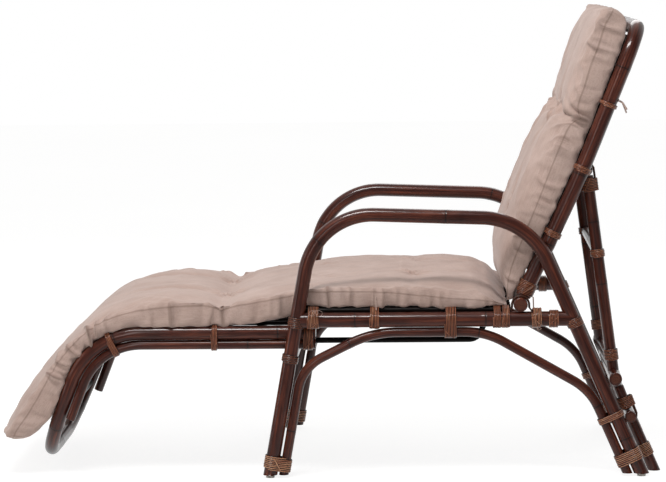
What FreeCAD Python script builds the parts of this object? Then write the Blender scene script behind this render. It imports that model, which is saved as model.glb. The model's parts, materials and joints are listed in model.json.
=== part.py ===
"""Rattan sun lounger with a slide-out legrest, a backrest on a prop frame and quilted pads.

Bent rattan poles are lashed together with peel. The frame of each side is one bent pole that is
front leg, arm and rear leg in one, with a lower seat rail and an arch brace under it. The backrest
turns on a bar that lies on the rails, a prop frame carries it, and the legrest slides along two rods.

Units are millimetres. X runs from the legrest to the backrest, Y from the sitter's left side to the
right side, Z up, and the origin is on the floor in the middle of the lounger.
"""
import FreeCAD, Part
import math
import os

import Sketcher
from FreeCAD import Placement, Rotation, Vector

SIZES = [
    # side frames
    ("loop_spacing", 600),
    ("loop_pole", 30),
    ("foot_cut_height", 6),
    ("foot_glide_diameter", 18),
    ("front_foot_reach", -128),
    ("arm_front_reach", -24),
    ("arm_front_height", 569),
    ("arm_front_bend", 147),
    ("arm_rear_reach", 429),
    ("arm_rear_height", 553),
    ("arm_rear_bend", 155),
    ("rear_foot_reach", 670),
    ("rail_pole", 32),
    ("rail_height", 339.5),
    # arch braces
    ("brace_pole", 20.5),
    ("brace_front_play", 3.2),
    ("brace_front_bend_height", 238),
    ("brace_front_bend", 95),
    ("brace_shoulder_reach", 95),
    ("brace_shoulder_bend", 230),
    ("brace_fall_reach", 336),
    ("brace_fall_bend", 170),
    ("brace_rear_play", 2.25),
    ("brace_rear_bend_height", 185),
    ("brace_rear_bend", 130),
    ("brace_rail_play", 0.5),
    # seat deck
    ("seat_bar_pole", 22),
    ("seat_bar_front_reach", 8),
    ("seat_bar_step", 165),
    ("seat_bar_count", 3),
    ("deck_cane", 11),
    ("deck_width", 570),
    ("deck_cane_count", 13),
    ("deck_front_reach", -50),
    ("deck_rear_gap", 5),
    # rear posts and the two rests of the prop
    ("post_pole", 24.5),
    ("post_spacing", 476),
    ("lower_bar_pole", 24),
    ("lower_bar_height", 126),
    ("rest_bar_length", 598),
    ("stay_pole", 22),
    ("stay_spacing", 534),
    ("stay_gap", 6),
    ("prop_bar_pole", 27.5),
    ("prop_bar_height", 208),
    ("prop_bar_gap", 2),
    # backrest
    ("pivot_reach", 411),
    ("pivot_bar_pole", 30),
    ("pivot_bar_length", 624),
    ("back_pole", 33),
    ("back_spacing", 524),
    ("back_low_lean_degrees", 25.493),
    ("back_high_lean_degrees", 21.754),
    ("back_bend_height", 640),
    ("back_bend", 2500),
    ("back_top_height", 952),
    ("back_corner_bend", 70),
    ("back_bar_pole", 20),
    ("back_bar_height", 444),
    ("back_bar_low_step", 122),
    ("back_bar_middle_step", 162),
    ("back_bar_high_step", 138),
    ("back_cane_overhang", 14),
    ("back_cane", 10),
    ("back_cane_count", 9),
    ("back_cane_pitch", 52),
    # prop frame
    ("prop_pole", 25),
    ("prop_spacing", 464),
    ("prop_hinge_bar_pole", 24.5),
    ("prop_hinge_drop", 72.5),
    ("prop_hinge_offset", 11),
    ("prop_rung_pole", 20),
    ("prop_rung_height", 472),
    # hinge loops of bent cane
    ("loop_cane", 5),
    ("loop_clearance", 0.8),
    ("loop_tail", 42),
    ("arch_tail", 22),
    ("arch_bend", 4),
    # legrest
    ("legrest_spacing", 532),
    ("legrest_pole", 30),
    ("legrest_height", 309),
    ("legrest_knee_reach", -514),
    ("legrest_knee_bend", 160),
    ("legrest_foot_reach", -623.7),
    ("legrest_foot_height", 30),
    ("legrest_foot_bend", 180),
    ("legrest_rear_reach", -27),
    ("lower_cane_pole", 20.5),
    ("lower_cane_end_left", 122),
    ("lower_cane_end_right", 97),
    ("legrest_bar_pole", 20),
    ("legrest_bar_reach", -150),
    ("legrest_bar_step", 140),
    ("legrest_bar_knee_step", 105),
    ("shin_bar_height", 200),
    ("shin_bar_step", 78),
    ("legrest_cane_overhang", 12),
    ("legrest_cane", 8),
    ("legrest_cane_count", 9),
    ("legrest_cane_pitch", 54),
    ("slide_bar_reach", -38),
    ("slide_rod", 12.4),
    ("slide_rod_spacing", 470),
    ("slide_rod_end_reach", 320),
    ("slide_rod_bend", 26),
    ("slide_ring_cane", 5),
    ("slide_clearance", 0.8),
    # lashings of rattan peel
    ("peel", 3.6),
    ("peel_play", 0.2),
    ("front_foot_lashing_height", 33),
    ("rear_foot_lashing_height", 46),
    ("rear_leg_lashing_height", 132),
    ("front_leg_lashing_drop", 1),
    ("rear_leg_lashing_drop", 8),
    ("front_bar_lashing_rise", 2),
    ("front_rail_lashing_reach", -31),
    ("second_rail_lashing_reach", 100),
    ("brace_rail_lashing_reach", 262),
    ("rear_rail_lashing_reach", 481),
    ("lashing_gap", 0.6),
    ("back_foot_lashing_height", 402),
    ("back_low_lashing_height", 518),
    ("back_high_lashing_height", 792),
    ("prop_foot_lashing_rise", 44),
    ("prop_lashing_start", 18),
    ("stay_lashing_start", 17),
    ("legrest_rear_lashing_reach", -43),
    ("legrest_middle_lashing_reach", -245),
    # pads
    ("pad_clearance", 0.6),
    ("pad_width", 554),
    ("pad_split_reach", -74),
    ("pad_knee_reach", -495),
    ("seat_pad_thickness", 67),
    ("leg_pad_thickness", 73),
    ("shin_pad_thickness", 93),
    ("shin_pad_end_height", 70),
    ("back_pad_width", 534),
    ("back_pad_thickness", 100),
    ("back_pad_foot", 10),
    ("back_pad_rise", 22.5),
]

# Sizes worked out from those above, so that braces lie beside the legs and the back keeps its leans
FRONT_SLOPE = "(arm_front_reach - front_foot_reach) / arm_front_height"
REAR_SLOPE = "(rear_foot_reach - arm_rear_reach) / arm_rear_height"
WORKED_OUT = [
    ("brace_front_side", f"(loop_pole / 2 + brace_pole / 2 + brace_front_play) * sqrt(1 + ({FRONT_SLOPE})^2)"),
    ("brace_rear_side", f"(loop_pole / 2 + brace_pole / 2 + brace_rear_play) * sqrt(1 + ({REAR_SLOPE})^2)"),
    ("brace_front_foot_reach", "front_foot_reach + brace_front_side"),
    ("brace_front_bend_reach", f"brace_front_foot_reach + brace_front_bend_height * {FRONT_SLOPE}"),
    ("brace_rear_foot_reach", "rear_foot_reach - brace_rear_side"),
    ("brace_rear_bend_reach", f"brace_rear_foot_reach - brace_rear_bend_height * {REAR_SLOPE}"),
    ("pivot_height", "rail_height + rail_pole / 2 + pivot_bar_pole / 2"),
    ("back_bend_reach", "pivot_reach + (back_bend_height - pivot_height) * tan(back_low_lean_degrees)"),
    ("back_top_reach", "back_bend_reach + (back_top_height - back_bend_height) * tan(back_high_lean_degrees)"),
    ("back_second_bar_height", "back_bar_height + back_bar_low_step"),
    ("back_third_bar_height", "back_second_bar_height + back_bar_middle_step"),
    ("back_fourth_bar_height", "back_third_bar_height + back_bar_high_step"),
    ("prop_hinge_height", "back_third_bar_height - prop_hinge_drop"),
]

doc = FreeCAD.newDocument("sun_lounger")
sheet = doc.addObject("Spreadsheet::Sheet", "sizes")
for row, (alias, number) in enumerate(SIZES, start=1):
    sheet.set(f"A{row}", alias)
    sheet.set(f"B{row}", str(number))
    sheet.setAlias(f"B{row}", alias)
for row, (alias, expression) in enumerate(WORKED_OUT, start=len(SIZES) + 1):
    sheet.set(f"A{row}", alias)
    sheet.set(f"B{row}", f"={expression}")
    sheet.setAlias(f"B{row}", alias)
doc.recompute()

parts = []


def mm(alias):
    """Returns the value of a cell of the sheet."""
    return float(sheet.get(alias))


def keep(feature, name):
    """Labels a finished sub-part and puts it on the list of pieces."""
    feature.Label = name
    parts.append(feature)
    return feature


def solid_feature(name, shape):
    """Keeps a sub-part whose shape is worked out here, for bends that leave one plane."""
    feature = doc.addObject("Part::Feature", name)
    feature.Shape = shape
    feature.Placement = Placement()
    return keep(feature, name)


def line_x(low, high, z):
    """Returns X at height z on the line through two (X, Z) points."""
    return low[0] + (high[0] - low[0]) * (z - low[1]) / (high[1] - low[1])


def rounded(points, bends):
    """Returns the edges of a line through points whose inner corners are arcs of the given radii."""
    edges = []
    start = points[0]
    for corner, after, bend in zip(points[1:-1], points[2:], bends):
        arriving = (corner - start).normalize()
        leaving = (after - corner).normalize()
        half_turn = arriving.getAngle(leaving) / 2
        cut = bend * math.tan(half_turn)
        inward = (leaving - arriving).normalize()
        first = corner - arriving * cut
        last = corner + leaving * cut
        middle = corner + inward * (bend / math.cos(half_turn) - bend)
        edges.append(Part.LineSegment(start, first).toShape())
        edges.append(Part.Arc(first, middle, last).toShape())
        start = last
    edges.append(Part.LineSegment(start, points[-1]).toShape())
    return edges


def tube(points, bends, diameter):
    """Returns a pole of round section along a rounded line through points."""
    edges = rounded(points, bends)
    direction = points[1] - points[0]
    ring = Part.Wire([Part.Circle(points[0], direction, diameter / 2).toShape()])
    shape = Part.Wire(edges).makePipeShell([ring], True, False)
    length = sum(edge.Length for edge in edges)
    expected = math.pi * diameter ** 2 / 4 * length
    if abs(shape.Volume / expected - 1) > 0.01:
        raise ValueError(f"a tube has {shape.Volume:.0f} mm3 where {expected:.0f} was expected")
    return shape


def origin_plane(body, role):
    """Finds an origin plane of a body by its role."""
    return next(item for item in body.Origin.OriginFeatures if item.Role == role)


def bent_pole(name, corners, bends, diameter, across, final=True):
    """Sweeps a pole along a sketch in the XZ plane and moves it across to its Y.

    Corners are pairs of sheet expressions for X and Z, bends are sheet expressions of the radii.
    """
    body = doc.addObject("PartDesign::Body", name + "_body" if not final else name)
    spine = body.newObject("Sketcher::SketchObject", name + "_path")
    spine.AttachmentSupport = [(origin_plane(body, "XZ_Plane"), "")]
    spine.MapMode = "FlatFace"
    at = [Vector(*[float(sheet.evalExpression(text)) for text in pair], 0) for pair in corners]
    radii = [float(sheet.evalExpression(text)) for text in bends]
    pieces = []
    ends = {}
    for edge in rounded(at, radii):
        first = edge.valueAt(edge.FirstParameter)
        last = edge.valueAt(edge.LastParameter)
        if isinstance(edge.Curve, Part.Line):
            index = spine.addGeometry(Part.LineSegment(first, last))
            ends[index] = (1, 2)
        else:
            centre = edge.Curve.Center
            clockwise = (first - centre).cross(edge.tangentAt(edge.FirstParameter)).z < 0
            low, high = (last, first) if clockwise else (first, last)
            angles = [math.atan2((point - centre).y, (point - centre).x) for point in (low, high)]
            turn = (angles[1] - angles[0]) % (2 * math.pi)
            circle = Part.Circle(centre, Vector(0, 0, 1), edge.Curve.Radius)
            index = spine.addGeometry(Part.ArcOfCircle(circle, angles[0], angles[0] + turn))
            ends[index] = (2, 1) if clockwise else (1, 2)
        pieces.append(index)
    for left, right in zip(pieces, pieces[1:]):
        spine.addConstraint(Sketcher.Constraint("Tangent", left, ends[left][1], right, ends[right][0]))
    for order, text in enumerate(bends):
        arc = pieces[2 * order + 1]
        spine.addConstraint(Sketcher.Constraint("Radius", arc, radii[order]))
        spine.setExpression(f"Constraints[{spine.ConstraintCount - 1}]", text)
    for order, ((text_x, text_z), point) in enumerate(zip(corners, at)):
        if order == 0:
            element, end = pieces[0], 1
        elif order == len(corners) - 1:
            element, end = pieces[-1], 2
        else:
            element, end = spine.addGeometry(Part.Point(point), True), 1
            for neighbour in (pieces[2 * order - 2], pieces[2 * order]):
                spine.addConstraint(Sketcher.Constraint("PointOnObject", element, end, neighbour))
        spine.addConstraint(Sketcher.Constraint("DistanceX", -1, 1, element, end, point.x))
        spine.setExpression(f"Constraints[{spine.ConstraintCount - 1}]", text_x)
        spine.addConstraint(Sketcher.Constraint("DistanceY", -1, 1, element, end, point.y))
        spine.setExpression(f"Constraints[{spine.ConstraintCount - 1}]", text_z)
    doc.recompute()
    section = body.newObject("Sketcher::SketchObject", name + "_section")
    section.AttachmentSupport = [(spine, "Edge1")]
    section.MapMode = "NormalToEdge"
    ring = section.addGeometry(Part.Circle(Vector(), Vector(0, 0, 1), float(sheet.evalExpression(diameter)) / 2))
    section.addConstraint(Sketcher.Constraint("Coincident", ring, 3, -1, 1))
    section.addConstraint(Sketcher.Constraint("Diameter", ring, float(sheet.evalExpression(diameter))))
    section.setExpression("Constraints[1]", diameter)
    pipe = body.newObject("PartDesign::AdditivePipe", name + "_sweep")
    pipe.Profile = (section, [""])
    pipe.Spine = (spine, [f"Edge{number + 1}" for number in range(len(pieces))])
    body.Placement = Placement(Vector(0, 0, 0), Rotation())
    body.setExpression("Placement.Base.y", across)
    doc.recompute()
    return keep(body, name) if final else body


def straight_pole(name, start, end, diameter, final=True):
    """Makes a straight pole between two points, whose diameter is a sheet expression."""
    pole = doc.addObject("Part::Cylinder", name + "_pole" if not final else name)
    pole.setExpression("Radius", f"({diameter}) / 2")
    pole.Height = (end - start).Length
    pole.Placement = Placement(start, Rotation(Vector(0, 0, 1), end - start))
    return keep(pole, name) if final else pole


def cross_bar(name, x, z, length, diameter):
    """Makes a bar that lies across the lounger, centred on its middle plane."""
    pole = doc.addObject("Part::Cylinder", name)
    pole.setExpression("Radius", f"({diameter}) / 2")
    pole.setExpression("Height", length)
    pole.Placement = Placement(Vector(x, 0, z), Rotation(Vector(1, 0, 0), -90))
    pole.setExpression("Placement.Base.y", f"-({length}) / 2")
    return keep(pole, name)


def rod(start, end, diameter):
    """Returns the solid of one straight cane of a group."""
    return Part.makeCylinder(diameter / 2, (end - start).Length, start, end - start)


def group(name, solids):
    """Keeps several alike solids as one sub-part."""
    return solid_feature(name, Part.makeCompound(solids))


# Named places, worked out from the sizes
loop_y = mm("loop_spacing") / 2
loop_r = mm("loop_pole") / 2
rail_r = mm("rail_pole") / 2
rail_z = mm("rail_height")
rail_inner = loop_y - rail_r
rear_low = (mm("rear_foot_reach"), 0)
rear_high = (mm("arm_rear_reach"), mm("arm_rear_height"))
front_low = (mm("front_foot_reach"), 0)
front_high = (mm("arm_front_reach"), mm("arm_front_height"))
rear_down = Vector(rear_low[0] - rear_high[0], 0, rear_low[1] - rear_high[1]).normalize()
rear_behind = Vector(-rear_down.z, 0, rear_down.x)
front_up = Vector(front_high[0] - front_low[0], 0, front_high[1]).normalize()
SIDES = (("left", -1), ("right", 1))
PEEL_CREST = 0.8
PEEL_EDGE = 0.3
SEAT_PLAY = 0.15
lash_rise = mm("peel") * PEEL_CREST + mm("peel_play") + SEAT_PLAY


def behind_rear_leg(height, distance):
    """Returns the point at a height whose distance behind the rear leg's axis is given."""
    shift = distance / rear_behind.x
    return Vector(line_x(rear_low, rear_high, height) + shift, 0, height)


# Side frames: one bent pole is front leg, arm and rear leg, cut level just above the floor
FLOOR_DEPTH = 60
FLOOR_SIZE = 2000


def cut_level(name, pole):
    """Cuts the ends of a pole level at the height where the foot glides begin."""
    block = doc.addObject("Part::Box", name + "_floor")
    block.Length = FLOOR_SIZE
    block.Width = FLOOR_SIZE
    block.Height = FLOOR_DEPTH
    block.Placement = Placement(Vector(-FLOOR_SIZE / 2, -FLOOR_SIZE / 2, 0), Rotation())
    block.setExpression("Placement.Base.z", f"sizes.foot_cut_height - {FLOOR_DEPTH}")
    cut = doc.addObject("Part::Cut", name)
    cut.Base = pole
    cut.Tool = block
    return keep(cut, name)


EXTRA = 20
front_slope = f"{EXTRA} * (sizes.arm_front_reach - sizes.front_foot_reach) / sizes.arm_front_height"
rear_slope = f"{EXTRA} * (sizes.rear_foot_reach - sizes.arm_rear_reach) / sizes.arm_rear_height"
for side, sign in SIDES:
    pole = bent_pole(
        f"arm_loop_{side}",
        [(f"sizes.front_foot_reach - {front_slope}", f"-{EXTRA}"),
         ("sizes.arm_front_reach", "sizes.arm_front_height"),
         ("sizes.arm_rear_reach", "sizes.arm_rear_height"),
         (f"sizes.rear_foot_reach + {rear_slope}", f"-{EXTRA}")],
        ["sizes.arm_front_bend", "sizes.arm_rear_bend"],
        "sizes.loop_pole", f"{sign} * sizes.loop_spacing / 2", final=False)
    cut_level(f"arm_loop_{side}", pole)

# Seat rails, coped round the legs that they meet
COPE_PLAY = 0.1
LEG_LASHINGS = ((front_low, front_high, front_up, rail_z - mm("front_leg_lashing_drop"), 4),
                (rear_low, rear_high, rear_down, rail_z - mm("rear_leg_lashing_drop"), 5))
rail_front = line_x(front_low, front_high, rail_z)
rail_rear = line_x(rear_low, rear_high, rail_z)
for side, sign in SIDES:
    name = f"seat_rail_{side}"
    y = sign * loop_y
    rail = straight_pole(name, Vector(rail_front, y, rail_z), Vector(rail_rear, y, rail_z), "sizes.rail_pole", False)
    legs = []
    for order, (low, high, direction, lash_z, turns) in enumerate(LEG_LASHINGS):
        middle = Vector(line_x(low, high, rail_z), y, rail_z)
        reach = direction * mm("rail_pole") * 2
        leg = straight_pole(f"{name}_leg_{order}", middle - reach, middle + reach, "sizes.loop_pole", False)
        leg.setExpression("Radius", f"sizes.loop_pole / 2 + {COPE_PLAY}")
        legs.append(leg)
        middle = Vector(line_x(low, high, lash_z), y, lash_z)
        reach = direction * (mm("peel") * turns / 2 + SEAT_PLAY)
        band = straight_pole(f"{name}_band_{order}", middle - reach, middle + reach, "sizes.loop_pole", False)
        band.setExpression("Radius", f"sizes.loop_pole / 2 + {lash_rise}")
        legs.append(band)
    cut = rail
    for order, leg in enumerate(legs):
        after = doc.addObject("Part::Cut", f"{name}_{order}")
        after.Base = cut
        after.Tool = leg
        cut = after
    keep(cut, name)

# Arch braces, bound to the feet and to the underside of the rails
brace_top = "sizes.rail_height - sizes.rail_pole / 2 - sizes.brace_pole / 2 - sizes.brace_rail_play"
brace_front_slope = (f"{EXTRA} * (sizes.brace_front_bend_reach - sizes.brace_front_foot_reach)"
                     " / sizes.brace_front_bend_height")
brace_rear_slope = (f"{EXTRA} * (sizes.brace_rear_foot_reach - sizes.brace_rear_bend_reach)"
                    " / sizes.brace_rear_bend_height")
for side, sign in SIDES:
    pole = bent_pole(
        f"arch_brace_{side}",
        [(f"sizes.brace_front_foot_reach - {brace_front_slope}", f"-{EXTRA}"),
         ("sizes.brace_front_bend_reach", "sizes.brace_front_bend_height"),
         ("sizes.brace_shoulder_reach", brace_top),
         ("sizes.brace_fall_reach", brace_top),
         ("sizes.brace_rear_bend_reach", "sizes.brace_rear_bend_height"),
         (f"sizes.brace_rear_foot_reach + {brace_rear_slope}", f"-{EXTRA}")],
        ["sizes.brace_front_bend", "sizes.brace_shoulder_bend", "sizes.brace_fall_bend", "sizes.brace_rear_bend"],
        "sizes.brace_pole", f"{sign} * sizes.loop_spacing / 2", final=False)
    cut_level(f"arch_brace_{side}", pole)

# Glides under the four main feet
glides = []
for sign in (-1, 1):
    for low, high in ((front_low, front_high), (rear_low, rear_high)):
        foot = Vector(line_x(low, high, mm("foot_cut_height")), sign * loop_y, 0)
        glides.append(Part.makeCylinder(mm("foot_glide_diameter") / 2, mm("foot_cut_height"), foot))
group("foot_glides", glides)

# Lower bar behind the rear legs, on two short posts
post_r = mm("post_pole") / 2
lower_bar_r = mm("lower_bar_pole") / 2
lower_bar = behind_rear_leg(mm("lower_bar_height"), loop_r + lower_bar_r)
cross_bar("lower_bar", lower_bar.x, lower_bar.z, "sizes.rest_bar_length", "sizes.lower_bar_pole")
for side, sign in SIDES:
    y = Vector(0, sign * mm("post_spacing") / 2, 0)
    top = lower_bar + rear_down * lower_bar_r + y
    foot = lower_bar + rear_down * ((lower_bar.z + EXTRA) / -rear_down.z) + y
    pole = straight_pole(f"rear_post_{side}", top, foot, "sizes.post_pole", False)
    block = doc.addObject("Part::Box", f"rear_post_{side}_floor")
    block.Length = FLOOR_SIZE
    block.Width = FLOOR_SIZE
    block.Height = FLOOR_DEPTH
    block.Placement = Placement(Vector(-FLOOR_SIZE / 2, -FLOOR_SIZE / 2, -FLOOR_DEPTH), Rotation())
    cut = doc.addObject("Part::Cut", f"rear_post_{side}")
    cut.Base = pole
    cut.Tool = block
    keep(cut, f"rear_post_{side}")

# Front bar under the legrest, between the front legs
BAR_PLAY = 3.2
leg_r = mm("legrest_pole") / 2
under_r = mm("lower_cane_pole") / 2
under_drop = leg_r + under_r + 0.25
front_bar_z = mm("legrest_height") - under_drop - under_r - BAR_PLAY - loop_r
front_bar_x = line_x(front_low, front_high, front_bar_z)
cross_bar("front_bar", front_bar_x, front_bar_z, f"sizes.loop_spacing - sizes.loop_pole - {2 * lash_rise}",
          "sizes.loop_pole")

# Seat deck: bars between the rails carry canes that run lengthwise
seat_bar_r = mm("seat_bar_pole") / 2
deck_r = mm("deck_cane") / 2
seat_bar_z = rail_z + 2.5
seat_bar_x = [mm("seat_bar_front_reach") + mm("seat_bar_step") * n for n in range(int(mm("seat_bar_count")))]
bar_half = Vector(0, rail_inner, 0)
group("seat_bars", [rod(Vector(x, 0, seat_bar_z) - bar_half, Vector(x, 0, seat_bar_z) + bar_half,
                        mm("seat_bar_pole")) for x in seat_bar_x])
deck_z = seat_bar_z + seat_bar_r + deck_r
deck_rear = mm("pivot_reach") - mm("pivot_bar_pole") / 2 - mm("deck_rear_gap")
deck_count = int(mm("deck_cane_count"))
for side, sign in SIDES:
    y = sign * mm("deck_width") / 2
    straight_pole(f"deck_edge_{side}", Vector(mm("deck_front_reach"), y, deck_z), Vector(deck_rear, y, deck_z),
                  "sizes.deck_cane")
deck_step = mm("deck_width") / (deck_count + 1)
group("deck_canes", [rod(Vector(mm("deck_front_reach"), y, deck_z), Vector(deck_rear, y, deck_z), mm("deck_cane"))
                     for y in (deck_step * (n + 1) - mm("deck_width") / 2 for n in range(deck_count))])

# Slide rods: they lie on the front bar, run level and rise to the last seat bar
rod_r = mm("slide_rod") / 2
ring_r = mm("slide_ring_cane") / 2
bar_r = mm("legrest_bar_pole") / 2
rod_z = mm("legrest_height") - bar_r - 2 * ring_r - mm("slide_clearance") - rod_r
rod_low = front_bar_z + loop_r + rod_r
slide_ring_reach = rod_r + mm("slide_clearance") + ring_r
slide_y = mm("slide_rod_spacing") / 2
for side, sign in SIDES:
    y = sign * slide_y
    route = [Vector(front_bar_x - loop_r, y, rod_low), Vector(front_bar_x + loop_r, y, rod_low),
             Vector(front_bar_x + loop_r * 2.1, y, rod_z), Vector(mm("slide_rod_end_reach"), y, rod_z),
             Vector(seat_bar_x[-1], y, seat_bar_z - seat_bar_r - rod_r * 0.5)]
    solid_feature(f"slide_rod_{side}", tube(route, [20, 20, mm("slide_rod_bend")], mm("slide_rod")))

# Backrest: the pivot bar lies on the rails, the frame is one bent pole that stands on it
pivot = Vector(mm("pivot_reach"), 0, rail_z + rail_r + mm("pivot_bar_pole") / 2)
pivot_r = mm("pivot_bar_pole") / 2
cross_bar("pivot_bar", pivot.x, pivot.z, "sizes.pivot_bar_length", "sizes.pivot_bar_pole")
back_y = mm("back_spacing") / 2
back_r = mm("back_pole") / 2
back_knee = Vector(mm("back_bend_reach"), 0, mm("back_bend_height"))
back_top = Vector(mm("back_top_reach"), 0, mm("back_top_height"))
back_low_up = (back_knee - pivot).normalize()
back_high_up = (back_top - back_knee).normalize()
back_foot = pivot + back_low_up * pivot_r


def behind_back(point, up, distance):
    """Moves a point square to the backrest, towards its rear."""
    return point + Vector(up.z, 0, -up.x) * distance


back_curve = rounded([pivot, back_knee, back_top], [mm("back_bend")])


def on_back(height):
    """Returns the point of the back poles' axis at a height, and the direction up the pole."""
    edge = next(item for item in back_curve if height <= max(vertex.Z for vertex in item.Vertexes))
    low, high = edge.FirstParameter, edge.LastParameter
    if edge.valueAt(low).z > edge.valueAt(high).z:
        low, high = high, low
    for _ in range(50):
        middle = (low + high) / 2
        if edge.valueAt(middle).z < height:
            low = middle
        else:
            high = middle
    up = edge.tangentAt(low)
    return edge.valueAt(low), up if up.z > 0 else up * -1


side_left = Vector(0, -back_y, 0)
side_right = Vector(0, back_y, 0)
back_route = [back_foot + side_left, back_knee + side_left, back_top + side_left,
              back_top + side_right, back_knee + side_right, back_foot + side_right]
back_bends = [mm("back_bend"), mm("back_corner_bend"), mm("back_corner_bend"), mm("back_bend")]
solid_feature("back_frame", tube(back_route, back_bends, mm("back_pole")))

back_bar_heights = [mm(f"back_{place}bar_height") for place in ("", "second_", "third_", "fourth_")]
back_bar_half = Vector(0, back_y - back_r, 0)
group("back_bars", [rod(on_back(z)[0] - back_bar_half, on_back(z)[0] + back_bar_half, mm("back_bar_pole"))
                    for z in back_bar_heights])
back_bar_r = mm("back_bar_pole") / 2
cane_r = mm("back_cane") / 2
cane_shift = -(back_bar_r + cane_r)
canes = []
cane_middle = (mm("back_cane_count") - 1) / 2
for number in range(int(mm("back_cane_count"))):
    y = Vector(0, (number - cane_middle) * mm("back_cane_pitch"), 0)
    low, low_up = on_back(back_bar_heights[0] - mm("back_cane_overhang"))
    high, high_up = on_back(back_bar_heights[-1] + mm("back_cane_overhang"))
    knee = behind_back(back_knee, (back_low_up + back_high_up).normalize(), cane_shift)
    canes.append(tube([behind_back(low, low_up, cane_shift) + y, knee + y, behind_back(high, high_up, cane_shift) + y],
                      [mm("back_bend")], mm("back_cane")))
group("back_canes", canes)

# Hinge bar of the prop, let in behind the back poles
hinge_base, hinge_up = on_back(mm("prop_hinge_height"))
hinge = behind_back(hinge_base, hinge_up, mm("prop_hinge_offset"))
cross_bar("prop_hinge_bar", hinge.x, hinge.z, f"sizes.back_spacing - sizes.back_pole - {2 * lash_rise}",
          "sizes.prop_hinge_bar_pole")

# Prop frame: two poles hang from the hinge bar and end on the foot bar behind the rear legs
prop_bar_r = mm("prop_bar_pole") / 2
prop_bar = behind_rear_leg(mm("prop_bar_height"), loop_r + prop_bar_r + mm("prop_bar_gap"))
cross_bar("prop_foot_bar", prop_bar.x, prop_bar.z, "sizes.rest_bar_length", "sizes.prop_bar_pole")
prop_down = (prop_bar - hinge).normalize()
hinge_bar_r = mm("prop_hinge_bar_pole") / 2
prop_y = mm("prop_spacing") / 2
prop_r = mm("prop_pole") / 2
prop_top = hinge + prop_down * (hinge_bar_r + mm("loop_clearance"))
for side, sign in SIDES:
    y = Vector(0, sign * prop_y, 0)
    straight_pole(f"prop_pole_{side}", prop_top + y, prop_bar - prop_down * prop_bar_r + y, "sizes.prop_pole")
rung_x = line_x((prop_bar.x, prop_bar.z), (hinge.x, hinge.z), mm("prop_rung_height"))
cross_bar("prop_rung", rung_x, mm("prop_rung_height"), f"sizes.prop_spacing - sizes.prop_pole - {2 * lash_rise}",
          "sizes.prop_rung_pole")

# Stays: short struts on the lower bar that hold the prop's foot bar up
stay_up = (prop_bar - lower_bar).normalize()
stay_y = mm("stay_spacing") / 2
stay_r = mm("stay_pole") / 2
stay_length = (prop_bar - lower_bar).Length - prop_bar_r - mm("stay_gap")
STAY_ROUNDING = 4
for side, sign in SIDES:
    y = Vector(0, sign * stay_y, 0)
    start = lower_bar + stay_up * (lower_bar_r + mm("loop_clearance")) + y
    pole = straight_pole(f"stay_{side}", start, lower_bar + stay_up * stay_length + y, "sizes.stay_pole", False)
    doc.recompute()
    rim = next(number for number, edge in enumerate(pole.Shape.Edges, start=1)
               if isinstance(edge.Curve, Part.Circle)
               and (edge.CenterOfMass - pole.Placement.Base).Length > pole.Height.Value / 2)
    fillet = doc.addObject("Part::Fillet", f"stay_{side}")
    fillet.Base = pole
    fillet.Edges = [(rim, STAY_ROUNDING, STAY_ROUNDING)]
    keep(fillet, f"stay_{side}")

# Hinge loops: canes bent round a bar with tails along the pole that hangs on it
cane = mm("loop_cane")


def hinge_loop(centre, towards, bar_radius, tail):
    """Returns a cane bent round a bar, whose two tails run towards the pole."""
    reach = bar_radius + mm("loop_clearance") + cane / 2
    across = Vector(towards.z, 0, -towards.x)
    ends = [centre + towards * tail + across * reach, centre + towards * tail - across * reach]
    turn = [centre + across * reach, centre - towards * reach, centre - across * reach]
    edges = [Part.LineSegment(ends[0], turn[0]).toShape(), Part.Arc(*turn).toShape(),
             Part.LineSegment(turn[2], ends[1]).toShape()]
    ring = Part.Wire([Part.Circle(ends[0], towards, cane / 2).toShape()])
    return Part.Wire(edges).makePipeShell([ring], True, False)


group("prop_hinge_loops", [hinge_loop(hinge + Vector(0, sign * prop_y, 0), prop_down, hinge_bar_r, mm("loop_tail"))
                           for sign in (-1, 1)])
for side, sign in SIDES:
    solid_feature(f"stay_loop_{side}", hinge_loop(lower_bar + Vector(0, sign * stay_y, 0), stay_up,
                                                  lower_bar_r, mm("loop_tail")))

# Arches over the pivot bar: canes whose ends lie along the rails under the lashings
arch_reach = pivot_r + mm("loop_clearance") + cane / 2
arch_foot = rail_z + rail_r + cane / 2
arches = []
for sign in (-1, 1):
    y = sign * loop_y
    tail = arch_reach + mm("arch_tail")
    crown = arch_reach * 0.999
    points = [Vector(pivot.x - tail, y, arch_foot), Vector(pivot.x - arch_reach, y, arch_foot),
              Vector(pivot.x - arch_reach, y, pivot.z + arch_reach), Vector(pivot.x + arch_reach, y, pivot.z + arch_reach),
              Vector(pivot.x + arch_reach, y, arch_foot), Vector(pivot.x + tail, y, arch_foot)]
    arches.append(tube(points, [mm("arch_bend"), crown, crown, mm("arch_bend")], cane))
group("pivot_arches", arches)

# Legrest: one bent pole, a thinner pole under each side, bars and canes
leg_y = mm("legrest_spacing") / 2
leg_z = mm("legrest_height")
knee_at = Vector(mm("legrest_knee_reach"), 0, leg_z)
foot_at = Vector(mm("legrest_foot_reach"), 0, mm("legrest_foot_height"))
leg_down = (foot_at - knee_at).normalize()
leg_outward = Vector(leg_down.z, 0, -leg_down.x)
rear_at = Vector(mm("legrest_rear_reach"), 0, leg_z)
left = Vector(0, -leg_y, 0)
right = Vector(0, leg_y, 0)
leg_route = [rear_at + left, knee_at + left, foot_at + left, foot_at + right, knee_at + right, rear_at + right]
leg_bends = [mm("legrest_knee_bend"), mm("legrest_foot_bend"), mm("legrest_foot_bend"), mm("legrest_knee_bend")]
solid_feature("legrest_frame", tube(leg_route, leg_bends, mm("legrest_pole")))


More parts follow.
